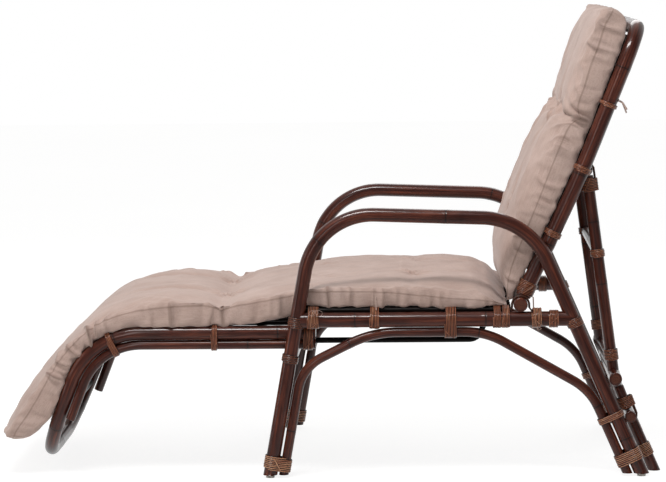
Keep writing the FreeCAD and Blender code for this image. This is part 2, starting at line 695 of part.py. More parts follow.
def leg_offset(inward):
    """Returns the knee corner of a line that runs inside the legrest's side by a distance."""
    half_turn = Vector(-1, 0, 0).getAngle(leg_down) / 2
    return knee_at + Vector(inward * math.tan(half_turn), 0, -inward)


def on_shin(height, inward):
    """Returns the point at a height on the legrest's sloping side, moved inside by a distance."""
    base = leg_offset(inward)
    return base + leg_down * ((base.z - height) / -leg_down.z)


for side, sign in SIDES:
    y = Vector(0, sign * leg_y, 0)
    route = [Vector(rear_at.x, 0, leg_z - under_drop) + y, leg_offset(under_drop) + y,
             on_shin(mm(f"lower_cane_end_{side}"), under_drop) + y]
    solid_feature(f"legrest_lower_pole_{side}", tube(route, [mm("legrest_knee_bend") - under_drop], 2 * under_r))

leg_bar_reaches = [mm("legrest_bar_reach"), mm("legrest_bar_reach") - mm("legrest_bar_step"),
                   mm("legrest_bar_reach") - mm("legrest_bar_step") - mm("legrest_bar_knee_step")]
leg_bar_heights = [mm("shin_bar_height"), mm("shin_bar_height") - mm("shin_bar_step")]


def shin_half_width(height):
    """Returns half the room between the legrest's sides at a height, narrower in the lower bend."""
    bend = mm("legrest_foot_bend")
    up = (height - foot_at.z) / -leg_down.z - bar_r
    if up >= bend:
        return leg_y - leg_r
    return leg_y - bend + math.sqrt((bend - leg_r) ** 2 - (bend - up) ** 2)


bar_places = [(Vector(x, 0, leg_z), leg_y - leg_r) for x in leg_bar_reaches]
bar_places += [(on_shin(z, 0), shin_half_width(z)) for z in leg_bar_heights]
group("legrest_bars", [rod(at - Vector(0, half, 0), at + Vector(0, half, 0), mm("legrest_bar_pole"))
                       for at, half in bar_places])
slide_bar_x = mm("slide_bar_reach")
cross_bar("slide_bar", slide_bar_x, leg_z, f"sizes.legrest_spacing - sizes.legrest_pole - {2 * lash_rise}",
          "sizes.legrest_bar_pole")
leg_cane_r = mm("legrest_cane") / 2
over = -(bar_r + leg_cane_r)
leg_canes = []
leg_middle = (mm("legrest_cane_count") - 1) / 2
for number in range(int(mm("legrest_cane_count"))):
    y = Vector(0, (number - leg_middle) * mm("legrest_cane_pitch"), 0)
    points = [Vector(slide_bar_x, 0, leg_z - over) + y, leg_offset(over) + y,
              on_shin(leg_bar_heights[-1] - mm("legrest_cane_overhang"), over) + y]
    leg_canes.append(tube(points, [mm("legrest_knee_bend") - over], mm("legrest_cane")))
group("legrest_canes", leg_canes)
slide_rings = []
for sign in (-1, 1):
    centre = Vector(slide_bar_x, sign * slide_y, rod_z)
    slide_rings.append(Part.makeTorus(slide_ring_reach, ring_r, centre, Vector(1, 0, 0)))
group("slide_rings", slide_rings)


# Lashings: rattan peel wound side by side, a scalloped sleeve round one pole or several
def hull_edges(circles):
    """Returns the outline round several circles (u, v, radius), as arcs and tangent lines."""
    if len(circles) == 1:
        u, v, radius = circles[0]
        return [Part.Circle(Vector(u, v, 0), Vector(0, 0, 1), radius).toShape()]
    tangents = []
    for i, (ui, vi, ri) in enumerate(circles):
        for j, (uj, vj, rj) in enumerate(circles):
            distance = math.hypot(uj - ui, vj - vi)
            if i == j or distance <= abs(ri - rj):
                continue
            angle = math.atan2(vj - vi, uj - ui) - math.pi / 2 + math.asin((rj - ri) / distance) * -1
            normal = Vector(math.cos(angle), math.sin(angle), 0)
            start = Vector(ui, vi, 0) + normal * ri
            inside = all((Vector(u, v, 0) - start).dot(normal) <= -radius + 1e-6
                         for k, (u, v, radius) in enumerate(circles) if k not in (i, j))
            if inside:
                tangents.append((i, j, normal, start, Vector(uj, vj, 0) + normal * rj))
    chain = sorted(tangents, key=lambda item: math.atan2(item[2].y, item[2].x))
    edges = []
    for now, following in zip(chain, chain[1:] + chain[:1]):
        edges.append(Part.LineSegment(now[3], now[4]).toShape())
        u, v, radius = circles[now[1]]
        first = math.atan2(now[2].y, now[2].x)
        turn = (math.atan2(following[2].y, following[2].x) - first) % (2 * math.pi)
        middle = Vector(u + radius * math.cos(first + turn / 2), v + radius * math.sin(first + turn / 2), 0)
        edges.append(Part.Arc(now[4], middle, following[3]).toShape())
    return edges


def lashing(place, axis, side_way, circles, turns):
    """Returns a scalloped sleeve of peel round circles given in the plane square to the axis.

    The sleeve is centred on place, u runs along side_way and v square to both.
    """
    peel = mm("peel")
    height = turns * peel
    edges = hull_edges([(u, v, radius + mm("peel_play")) for u, v, radius in circles])
    start = edges[0].valueAt(edges[0].FirstParameter)
    ahead = edges[0].tangentAt(edges[0].FirstParameter)
    outward = Vector(ahead.y, -ahead.x, 0)
    inner_low = start + Vector(0, 0, -height / 2)
    inner_high = start + Vector(0, 0, height / 2)
    corners = [inner_high, inner_low]
    for turn in range(turns):
        base = inner_low + Vector(0, 0, peel * turn)
        for up, out in ((0, PEEL_EDGE), (0.22, PEEL_CREST), (0.78, PEEL_CREST)):
            corners.append(base + Vector(0, 0, peel * up) + outward * (peel * out))
    corners.append(inner_high + outward * (peel * PEEL_EDGE))
    profile = [Part.LineSegment(low, high).toShape() for low, high in zip(corners, corners[1:] + corners[:1])]
    wire = Part.Wire(profile)
    if len(edges) == 1:
        shape = Part.Face(wire).revolve(Vector(circles[0][0], circles[0][1], 0), Vector(0, 0, 1), 360)
    else:
        shape = Part.Wire(edges).makePipeShell([wire], True, False)
    if shape.ShapeType != "Solid":
        shape = shape.Solids[0] if shape.Solids else Part.Solid(Part.Shell(shape.Faces))
    if shape.Volume < 0:
        shape.reverse()
    along_axis = axis.normalize()
    first = side_way.normalize()
    second = along_axis.cross(first)
    matrix = FreeCAD.Matrix(first.x, second.x, along_axis.x, place.x, first.y, second.y, along_axis.y, place.y,
                            first.z, second.z, along_axis.z, place.z, 0, 0, 0, 1)
    shape.Placement = Placement(matrix)
    return shape


brace_r = mm("brace_pole") / 2
brace_z = rail_z - rail_r - brace_r - 0.5
WAY_X = Vector(1, 0, 0)
WAY_Y = Vector(0, 1, 0)
TO_LEFT_LEG = 6


def frame_lashings(sign):
    """Returns the lashings of one side of the fixed frame."""
    y = sign * loop_y
    found = []
    # round the legs where the rail meets them and where the front bar does
    bands = LEG_LASHINGS + ((front_low, front_high, front_up, front_bar_z + mm("front_bar_lashing_rise"), 4),)
    for low, high, direction, z, turns in bands:
        at = Vector(line_x(low, high, z), y, z)
        found.append(lashing(at, Vector(direction), WAY_Y, [(0, 0, loop_r)], turns))
    # round the rail, with the deck's edge cane, the brace or the arch's tail beside it
    rail = (0, 0, rail_r)
    edge = (sign * (mm("deck_width") / 2 - loop_y), deck_z - rail_z, deck_r)
    brace = (0, brace_z - rail_z, brace_r)
    tail = (0, arch_foot - rail_z, cane / 2)
    before_arch = pivot.x - arch_reach - mm("arch_bend") - mm("peel") * 5 / 2 - mm("lashing_gap")
    behind_arch = pivot.x + arch_reach + mm("arch_bend") + mm("peel") * 6 / 2 + mm("lashing_gap")
    for x, turns, circles in ((mm("front_rail_lashing_reach"), 7, [rail, edge]),
                              (mm("second_rail_lashing_reach"), 6, [rail, edge]),
                              (mm("brace_rail_lashing_reach"), 7, [rail, edge, brace]),
                              (before_arch - mm("peel") * 5 - mm("lashing_gap"), 5, [rail, edge]),
                              (before_arch, 5, [rail, edge, tail]), (behind_arch, 6, [rail, tail]),
                              (mm("rear_rail_lashing_reach"), 6, [rail])):
        found.append(lashing(Vector(x, y, rail_z), Vector(WAY_X), WAY_Y, circles, turns))
    # round leg and brace, once at the front foot and twice at the rear leg
    z = mm("front_foot_lashing_height")
    at = Vector(line_x(front_low, front_high, z), y, z)
    gap = mm("brace_front_side") * front_up.z
    side_way = Vector(front_up.z, 0, -front_up.x)
    found.append(lashing(at, Vector(front_up), side_way, [(0, 0, loop_r), (gap, 0, brace_r)], 8))
    gap = -mm("brace_rear_side") * rear_behind.x
    for z, turns in ((mm("rear_leg_lashing_height"), 4), (mm("rear_foot_lashing_height"), 8)):
        at = Vector(line_x(rear_low, rear_high, z), y, z)
        found.append(lashing(at, Vector(rear_down), Vector(rear_behind), [(0, 0, loop_r), (gap, 0, brace_r)], turns))
    # round the short post behind the leg
    down_post = (lower_bar.z - mm("rear_foot_lashing_height")) / -rear_down.z
    at = lower_bar + rear_down * down_post + Vector(0, sign * mm("post_spacing") / 2, 0)
    found.append(lashing(at, Vector(rear_down), WAY_Y, [(0, 0, post_r)], 8))
    return found


for side, sign in SIDES:
    group(f"frame_lashings_{side}", frame_lashings(sign))

back_lashings = []
for sign in (-1, 1):
    for z, turns in ((mm("back_high_lashing_height"), 3), (hinge_base.z, 4),
                     (mm("back_low_lashing_height"), 4), (mm("back_foot_lashing_height"), 8)):
        at, up = on_back(z)
        back_lashings.append(lashing(at + Vector(0, sign * back_y, 0), Vector(up), WAY_Y, [(0, 0, back_r)], turns))
group("back_lashings", back_lashings)


def loop_lashing(centre, towards, pole_radius, reach, start, turns):
    """Returns the peel wound round a pole and the tails of its hinge loop."""
    middle = centre + towards * (start + turns * mm("peel") / 2)
    across = Vector(towards.z, 0, -towards.x)
    return lashing(middle, Vector(towards), across, [(reach, 0, cane / 2), (0, 0, pole_radius), (-reach, 0, cane / 2)],
                   turns)


prop_lashings = []
prop_loop_reach = hinge_bar_r + mm("loop_clearance") + cane / 2
for sign in (-1, 1):
    y = Vector(0, sign * prop_y, 0)
    prop_lashings.append(loop_lashing(hinge + y, prop_down, prop_r, prop_loop_reach, mm("prop_lashing_start"), 8))
    for z, turns in ((mm("prop_rung_height"), 5), (prop_bar.z + mm("prop_foot_lashing_rise"), 7)):
        at = Vector(line_x((prop_bar.x, prop_bar.z), (hinge.x, hinge.z), z), 0, z) + y
        prop_lashings.append(lashing(at, Vector(prop_down), WAY_Y, [(0, 0, prop_r)], turns))
group("prop_lashings", prop_lashings)
stay_loop_reach = lower_bar_r + mm("loop_clearance") + cane / 2
for side, sign in SIDES:
    group(f"stay_lashing_{side}", [loop_lashing(lower_bar + Vector(0, sign * stay_y, 0), stay_up, stay_r,
                                                stay_loop_reach, mm("stay_lashing_start"), 7)])

KNEE_LASHING_SHARE = 0.7
BEND_PLAY = 0.4
legrest_lashings = []
for sign in (-1, 1):
    y = sign * leg_y
    pair = [(0, 0, leg_r), (0, -under_drop, under_r)]
    for x, turns in ((mm("legrest_rear_lashing_reach"), 6), (mm("legrest_middle_lashing_reach"), 4)):
        legrest_lashings.append(lashing(Vector(x, y, leg_z), Vector(WAY_X), WAY_Y, pair, turns))
    half_knee = Vector(-1, 0, 0).getAngle(leg_down) / 2
    bend = mm("legrest_knee_bend")
    turn = half_knee * KNEE_LASHING_SHARE
    middle = knee_at + Vector(bend * math.tan(half_knee), 0, -bend)
    out = Vector(-math.sin(turn), 0, math.cos(turn))
    legrest_lashings.append(lashing(middle + out * bend + Vector(0, y, 0), Vector(math.cos(turn), 0, math.sin(turn)),
                                    WAY_Y, [(0, 0, leg_r + BEND_PLAY), (0, -under_drop, under_r + BEND_PLAY)], 4))
group("legrest_lashings", legrest_lashings)


# Pads: flat below, with bulging sides and a crowned top, thinner where tufts and folds draw them in
CROWN_SHARE = 0.4
SIDE_SHARE = 0.45


def pad_section(place, through, width, thickness):
    """Returns one section of a pad: place is the middle of its lower line, through points to the top."""
    side = thickness * (1 - CROWN_SHARE)
    inset = WAY_Y * (width / 2 - side * SIDE_SHARE)
    bulge = WAY_Y * (width / 2)
    low_left, low_right = place - inset, place + inset
    high_left, high_right = low_left + through * side, low_right + through * side
    return Part.Wire([
        Part.LineSegment(low_left, low_right).toShape(),
        Part.Arc(low_right, place + bulge + through * (side * 0.5), high_right).toShape(),
        Part.Arc(high_right, place + through * thickness, high_left).toShape(),
        Part.Arc(high_left, place - bulge + through * (side * 0.5), low_left).toShape(),
    ])


def between(rows, share, column):
    """Reads a column of a table at a share, with an even slope between the rows."""
    for low, high in zip(rows, rows[1:]):
        if share <= high[0]:
            part = (share - low[0]) / (high[0] - low[0])
            eased = part * part * (3 - 2 * part)
            return low[column] + (high[column] - low[column]) * (0.5 * part + 0.5 * eased)
    return rows[-1][column]


def pad(name, path, start, stop, thickness, width, rows, count):
    """Lofts a pad along a path, between two distances from its start.

    Each row holds a share of the path's length, the lift off the path in mm, the thickness and the
    width as shares of the pad's own, and the lean of the section in degrees.
    """
    wires = []
    for number in range(count + 1):
        turn = 2 * math.pi * number / count
        share = number / count - math.sin(turn) / (2 * math.pi) * 0.6
        place, ahead = point_along(path, start + (stop - start) * share)
        through = Vector(-ahead.z, 0, ahead.x)
        lean = Rotation(WAY_Y, between(rows, share, 4))
        wires.append(pad_section(place + through * between(rows, share, 1), lean.multVec(through),
                                 width * between(rows, share, 3), thickness * between(rows, share, 2)))
    return solid_feature(name, Part.makeLoft(wires, True, True))


def point_along(path, distance):
    """Returns the point and the direction at a distance along a wire."""
    for edge in path.OrderedEdges:
        if distance <= edge.Length + 1e-6:
            parameter = edge.getParameterByLength(min(distance, edge.Length))
            ahead = edge.tangentAt(parameter)
            point = edge.valueAt(parameter)
            return point, ahead
        distance -= edge.Length
    raise ValueError("the distance lies beyond the wire")


clear = mm("pad_clearance")
pad_bottom = deck_z + deck_r + clear
pad_front = Vector(mm("pad_split_reach") + clear, 0, pad_bottom)
pad_rear = Vector(pivot.x - pivot_r - 12, 0, pad_bottom)
SEAT_ROWS = ((0, -8, 0.87, 0.98, 0), (0.02, -5, 0.78, 0.97, 0), (0.044, 0, 0.8, 0.985, 0), (0.2, 0, 0.88, 1, 0),
             (0.39, 0, 0.96, 1, 0), (0.52, 0, 0.985, 0.995, 0), (0.56, 0, 0.93, 0.98, 0), (0.6, 0, 0.985, 0.995, 0),
             (0.69, 0, 1, 1, 0), (0.83, 0, 0.93, 1, 0), (0.92, 0, 0.7, 0.99, 0), (0.96, 0, 0.42, 0.975, 0),
             (1, 0, 0.12, 0.95, 0))
seat_path = Part.Wire([Part.LineSegment(pad_front, pad_rear).toShape()])
pad("seat_pad", seat_path, 0, seat_path.Length, mm("seat_pad_thickness"), mm("pad_width"), SEAT_ROWS, 24)

# The legrest's pad follows its canes over the knee, in one part that gathers and one that slides
leg_bottom = leg_z - over + leg_cane_r + clear
shin_out = -(leg_bottom - leg_z)
shin_bend = mm("legrest_knee_bend") - shin_out
shin_corner = leg_offset(shin_out)
shin_end = on_shin(mm("shin_pad_end_height"), shin_out)
leg_rear = Vector(mm("pad_split_reach") - clear, 0, leg_bottom)
shin_path = Part.Wire(rounded([shin_end, shin_corner, leg_rear], [shin_bend]))
half_knee = Vector(-1, 0, 0).getAngle(leg_down) / 2
bend_start = shin_corner.x + shin_bend * math.tan(half_knee)
split_angle = math.asin(min(max((bend_start - mm("pad_knee_reach")) / shin_bend, 0), 0.9))
split_at = shin_path.Length - (leg_rear.x - bend_start) - shin_bend * split_angle
upright = math.degrees(split_angle)
LEG_ROWS = ((0, 0, 0.87, 1, upright), (0.1, 0, 0.84, 1, 0.4 * upright), (0.2, 0, 0.92, 1, 0.07 * upright),
            (0.27, 0, 0.96, 1, 0), (0.36, 0, 1, 1, 0), (0.47, 0, 0.96, 1, 0), (0.57, 0, 0.86, 0.99, 0),
            (0.635, 0, 0.74, 0.97, 0), (0.71, 2, 0.84, 0.99, 0), (0.79, 6, 0.93, 1, 0), (0.9, 14, 0.93, 1, 0),
            (1, 23, 0.87, 0.98, 0))
pad("leg_pad", shin_path, split_at + clear, shin_path.Length, mm("leg_pad_thickness"), mm("pad_width"), LEG_ROWS, 24)
SHIN_ROWS = ((0, 43, 0.34, 0.93, -22), (0.035, 35, 0.6, 0.96, -19), (0.11, 20, 0.84, 0.99, -12), (0.27, 3, 0.92, 1, -3),
             (0.41, 0, 0.82, 1, 0), (0.58, 0, 0.68, 1, 0), (0.66, 0, 0.6, 0.99, 0), (0.8, 0, 0.5, 0.985, 0.2 * upright),
             (0.9, 0, 0.54, 1, 0.55 * upright), (1, 0, 0.683, 1, upright))
pad("shin_pad", shin_path, 0, split_at - clear, mm("shin_pad_thickness"), mm("pad_width"), SHIN_ROWS, 24)

back_out = -(back_bar_r + 2 * cane_r + clear)
pad_foot = behind_back(pivot - back_low_up * mm("back_pad_foot"), back_low_up, back_out)
pad_knee = behind_back(back_knee, (back_low_up + back_high_up).normalize(), back_out)
pad_head = behind_back(back_top + back_high_up * mm("back_pad_rise"), back_high_up, back_out)
BACK_ROWS = ((0, 2, 0.02, 0.95, 0), (0.01, 0, 0.17, 0.955, 0), (0.026, 0, 0.34, 0.965, 0), (0.052, 0, 0.54, 0.975, 0),
             (0.085, 0, 0.68, 0.985, 0), (0.13, 0, 0.78, 0.99, 0), (0.18, 0, 0.84, 1, 0), (0.31, 0, 0.95, 1, 0),
             (0.43, 0, 1, 1, 0), (0.52, 0, 0.97, 1, 0), (0.58, 0, 0.9, 0.99, 0), (0.612, 0, 0.81, 0.975, 0),
             (0.635, 0, 0.74, 0.965, 0), (0.66, 0, 0.8, 0.975, 0), (0.7, 0, 0.84, 0.99, 0), (0.8, 0, 0.9, 1, 0),
             (0.88, 0, 0.91, 1, 0), (0.935, 2, 0.86, 0.985, 0), (0.965, 8, 0.74, 0.965, 0), (0.988, 18, 0.54, 0.945, 0),
             (1, 28, 0.32, 0.93, 0))
back_path = Part.Wire(rounded([pad_foot, pad_knee, pad_head], [mm("back_bend")]))
pad("back_pad", back_path, 0, back_path.Length, mm("back_pad_thickness"), mm("back_pad_width"), BACK_ROWS, 32)

doc.recompute()
for item in doc.Objects:
    if "Invalid" in item.State or "Error" in item.State:
        raise RuntimeError(f"{item.Label} did not build: {item.State}")
for item in parts:
    if item.Shape.isNull() or not item.Shape.isValid() or not item.Shape.Solids:
        raise RuntimeError(f"{item.Label} has no valid shape")

os.makedirs("parts", exist_ok=True)
for item in parts:
    item.Shape.exportStep(f"parts/{item.Label}.step")
print(len(parts), "sub-parts,", sum(len(item.Shape.Solids) for item in parts), "solids")
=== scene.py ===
"""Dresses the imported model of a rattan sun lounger: stained poles, wound peel and stuffed pads.

Everything is in metres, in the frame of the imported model: X runs from the legrest to the backrest,
Y to the right of someone who sits in it, Z up from the floor.
"""
from __future__ import annotations

import json
import logging
import math
from dataclasses import dataclass, field
from enum import Enum

import bpy
import numpy as np
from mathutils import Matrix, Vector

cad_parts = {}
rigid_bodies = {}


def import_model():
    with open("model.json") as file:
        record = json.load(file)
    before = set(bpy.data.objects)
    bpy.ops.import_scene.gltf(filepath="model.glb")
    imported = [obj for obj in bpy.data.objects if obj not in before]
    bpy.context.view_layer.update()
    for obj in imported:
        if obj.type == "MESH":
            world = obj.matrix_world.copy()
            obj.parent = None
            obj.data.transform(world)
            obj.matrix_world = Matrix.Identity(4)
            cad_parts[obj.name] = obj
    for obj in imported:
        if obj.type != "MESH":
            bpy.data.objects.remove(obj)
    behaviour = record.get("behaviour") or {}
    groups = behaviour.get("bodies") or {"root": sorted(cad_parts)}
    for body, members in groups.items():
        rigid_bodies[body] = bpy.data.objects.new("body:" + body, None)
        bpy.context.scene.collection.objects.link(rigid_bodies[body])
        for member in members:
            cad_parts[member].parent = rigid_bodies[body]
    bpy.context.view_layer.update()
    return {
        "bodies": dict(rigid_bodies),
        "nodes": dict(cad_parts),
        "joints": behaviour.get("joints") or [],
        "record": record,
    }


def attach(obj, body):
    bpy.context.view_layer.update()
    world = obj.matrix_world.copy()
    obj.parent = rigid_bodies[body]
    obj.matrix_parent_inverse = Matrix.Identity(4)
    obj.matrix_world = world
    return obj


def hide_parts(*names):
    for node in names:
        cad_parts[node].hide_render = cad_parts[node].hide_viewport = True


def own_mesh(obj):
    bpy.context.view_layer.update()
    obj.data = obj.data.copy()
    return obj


LOG = logging.getLogger("lounger")
AXIS_X = np.array([1.0, 0.0, 0.0])
AXIS_Y = np.array([0.0, 1.0, 0.0])
AXIS_Z = np.array([0.0, 0.0, 1.0])
SIDES = (("left", -1), ("right", 1))
Tree = bpy.types.NodeTree
Socket = bpy.types.NodeSocket
Pair = tuple[float, float]
Triple = tuple[float, float, float]
Array = np.ndarray
Object = bpy.types.Object

# X and Z of the bar that carries the stays, and of the prop's hinge bar
LOWER_BAR = (0.64454, 0.126)
HINGE_BAR = (0.55488, 0.65116)
# Y of the pads' two rows of tufts
TUFT_SIDES = (-0.118, 0.118)


# Colours and materials

def linear(hex_colour: str) -> tuple[float, float, float, float]:
    """Turns an sRGB hex colour into the linear values that shaders take.

    Args:
        hex_colour: six hex digits, with or without a leading sign.

    Returns:
        Red, green, blue and alpha 1, in linear light.
    """
    digits = hex_colour.lstrip("#")
    parts = [int(digits[k:k + 2], 16) / 255 for k in (0, 2, 4)]
    curve = [c / 12.92 if c <= 0.04045 else ((c + 0.055) / 1.055) ** 2.4 for c in parts]
    return curve[0], curve[1], curve[2], 1.0


def fill(tree: Tree, node: bpy.types.Node, inputs: dict) -> None:
    """Sets a node's inputs by name or number, or links them to output sockets.

    Args:
        tree: the material's node tree.
        node: the node.
        inputs: values or output sockets by input name or number.
    """
    for key, value in inputs.items():
        if isinstance(value, Socket):
            tree.links.new(value, node.inputs[key])
        else:
            node.inputs[key].default_value = value


def add_node(tree: Tree, kind: str, inputs: dict | None = None, **settings) -> bpy.types.Node:
    """Adds a node, sets its properties, and fills or links its inputs.

    Args:
        tree: the material's node tree.
        kind: the node's type name.
        inputs: values or output sockets by input name or number.
        settings: properties of the node, such as operation or blend_type.

    Returns:
        The new node.
    """
    node = tree.nodes.new(kind)
    for key, value in settings.items():
        setattr(node, key, value)
    fill(tree, node, inputs or {})
    return node


def attribute(tree: Tree, name: str, output: str = "Fac") -> Socket:
    """Returns a value that the mesh carries at its points."""
    return add_node(tree, "ShaderNodeAttribute", attribute_name=name).outputs[output]


def computed(tree: Tree, operation: str, first: Socket | float, second: Socket | float) -> Socket:
    """Returns what a math operation makes of two values."""
    return add_node(tree, "ShaderNodeMath", {0: first, 1: second}, operation=operation).outputs[0]


def mixed_value(tree: Tree, share: Socket | float, first: Socket, second: Socket) -> Socket:
    """Returns a value that goes from the first to the second by a share."""
    return add_node(tree, "ShaderNodeMix", {0: share, 2: first, 3: second}, data_type="FLOAT").outputs[0]


def mixed_colour(tree: Tree, share: Socket | float, first: Socket | tuple, second: Socket | tuple,
                 blend: str = "MIX") -> Socket:
    """Returns a colour that goes from the first to the second by a share."""
    return add_node(tree, "ShaderNodeMix", {0: share, 6: first, 7: second}, data_type="RGBA",
                    blend_type=blend).outputs[2]


def ranged(tree: Tree, value: Socket, low: float, high: float, to_low: float = 0.0,
           to_high: float = 1.0) -> Socket:
    """Returns a value carried from one range over to another."""
    return add_node(tree, "ShaderNodeMapRange", {"Value": value, "From Min": low, "From Max": high,
                                                 "To Min": to_low, "To Max": to_high}).outputs[0]


def ramp(tree: Tree, value: Socket, stops: list[tuple[float, str]]) -> Socket:
    """Maps a value to colours through stops of position and sRGB hex colour.

    Args:
        tree: the material's node tree.
        value: the socket that picks the colour, from 0 to 1.
        stops: positions with their colours, in rising order.

    Returns:
        The colour socket.
    """
    node = add_node(tree, "ShaderNodeValToRGB", {"Fac": value})
    band = node.color_ramp
    while len(band.elements) < len(stops):
        band.elements.new(0.5)
    for element, (position, colour) in zip(band.elements, stops):
        element.position = position
        element.color = linear(colour)
    return node.outputs["Color"]


def stretched(tree: Tree, vector: Socket, scale: Triple, detail: float, rough: float = 0.55,
              shift: Triple = (0, 0, 0)) -> Socket:
    """Returns noise whose scale differs along the three axes of a vector.

    Args:
        tree: the material's node tree.
        vector: the coordinates in metres.
        scale: cycles per metre along each axis.
        detail: octaves of the noise.
        rough: share that each octave keeps.
        shift: offset added after scaling, so that two patterns differ.

    Returns:
        The noise's value socket.
    """
    mapped = add_node(tree, "ShaderNodeMapping", {"Vector": vector, "Location": shift, "Scale": scale})
    noise = add_node(tree, "ShaderNodeTexNoise", {"Vector": mapped.outputs["Vector"], "Scale": 1.0,
                                                  "Detail": detail, "Roughness": rough})
    return noise.outputs["Fac"]


def bumped(tree: Tree, shader: bpy.types.Node, height: Socket, distance: float, strength: float) -> None:
    """Gives a shader bumps from a height value, up to a distance in metres."""
    bump = add_node(tree, "ShaderNodeBump", {"Height": height, "Distance": distance, "Strength": strength})
    tree.links.new(bump.outputs["Normal"], shader.inputs["Normal"])


def new_material(name: str) -> tuple[bpy.types.Material, Tree, bpy.types.Node]:
    """Makes an empty material with one Principled shader.

    Args:
        name: the material's name.

    Returns:
        The material, its node tree and its shader node.
    """
    material = bpy.data.materials.new(name)
    material.use_nodes = True
    tree = material.node_tree
    tree.nodes.clear()
    shader = add_node(tree, "ShaderNodeBsdfPrincipled")
    add_node(tree, "ShaderNodeOutputMaterial", {"Surface": shader.outputs["BSDF"]})
    return material, tree, shader


@dataclass(frozen=True)
class CaneFinish:
    """Rattan cane, steamed, bent and stained, then sprayed with lacquer.

    The stain gathers in lengthwise fibres, so that streaks 2 to 5 mm wide run along the pole, darker
    at the growth rings. The lacquer gives a sharp narrow highlight over them.
    """
    name: str
    dark: str
    middle: str
    light: str
    ring: str
    end_grain: str
    roughness: float
    coat: float
    coat_roughness: float
    streaks_per_metre: float = 260.0
    bump_m: float = 0.00012
    specular: float = 0.25

    def build(self) -> bpy.types.Material:
        """Builds the material from streaks, mottling, rings and end grain."""
        material, tree, shader = new_material(self.name)
        grain = attribute(tree, "grain", "Vector")
        across = self.streaks_per_metre
        streak = stretched(tree, grain, (7.0, across, across), 3.0)
        fibre = stretched(tree, grain, (24.0, across * 4, across * 4), 2.0, 0.6, (3.1, 1.7, 0.4))
        cloud = stretched(tree, grain, (9.0, 34.0, 34.0), 3.0, 0.6, (9.2, 4.4, 7.1))
        body = ramp(tree, mixed_value(tree, 0.42, streak, cloud),
                    [(0.32, self.dark), (0.5, self.middle), (0.7, self.light)])
        fine = ramp(tree, fibre, [(0.3, "9A9A9A"), (0.62, "FFFFFF")])
        toned = mixed_colour(tree, 0.6, body, fine, "MULTIPLY")
        ringed = mixed_colour(tree, attribute(tree, "ring"), toned, linear(self.ring))
        pores = stretched(tree, grain, (400.0, 900.0, 900.0), 1.0, 0.5)
        wood = ramp(tree, pores, [(0.35, self.dark), (0.62, self.end_grain)])
        fill(tree, shader, {
            "Base Color": mixed_colour(tree, attribute(tree, "cut"), ringed, wood),
            "Roughness": ranged(tree, cloud, 0.3, 0.7, self.roughness - 0.06, self.roughness + 0.1),
            "Coat Weight": self.coat, "Coat Roughness": self.coat_roughness,
            "Specular IOR Level": self.specular})
        bumped(tree, shader, computed(tree, "ADD", fibre, streak), self.bump_m, 0.7)
        return material


@dataclass(frozen=True)
class PeelFinish:
    """Rattan peel, the flat outer skin of the cane, wound damp and lacquered with the pole.

    Each strand shows its own tone and fine fibres along it, and its sides are darkened as painted shade between
    the turns.
    """
    name: str
    dark: str
    middle: str
    light: str
    stained: str = "5E2F1E"

    def build(self) -> bpy.types.Material:
        """Builds the material from a tone for each turn, fibres, and dark lines of painted shade between the
        turns.
        """
        material, tree, shader = new_material(self.name)
        grain = attribute(tree, "grain", "Vector")
        tone = stretched(tree, grain, (18.0, 5.0, 5.0), 2.0, 0.6)
        fibre = stretched(tree, grain, (60.0, 2400.0, 2400.0), 2.0, 0.6, (1.3, 2.2, 0.7))
        shifted = computed(tree, "ADD", mixed_value(tree, 0.4, tone, fibre), attribute(tree, "tone"))
        body = ramp(tree, shifted, [(0.3, self.stained), (0.52, self.middle), (0.75, self.light)])
        # painted shade: where the crest value is low, at the strand's sides, the colour goes to the near-black
        # dark one
        crest = ranged(tree, attribute(tree, "crest"), 0.72, 0.97)
        fill(tree, shader, {
            "Base Color": mixed_colour(tree, crest, linear(self.dark), body),
            "Roughness": 0.42, "Specular IOR Level": 0.3, "Coat Weight": 0.7, "Coat Roughness": 0.16})
        bumped(tree, shader, fibre, 0.00012, 0.7)
        return material


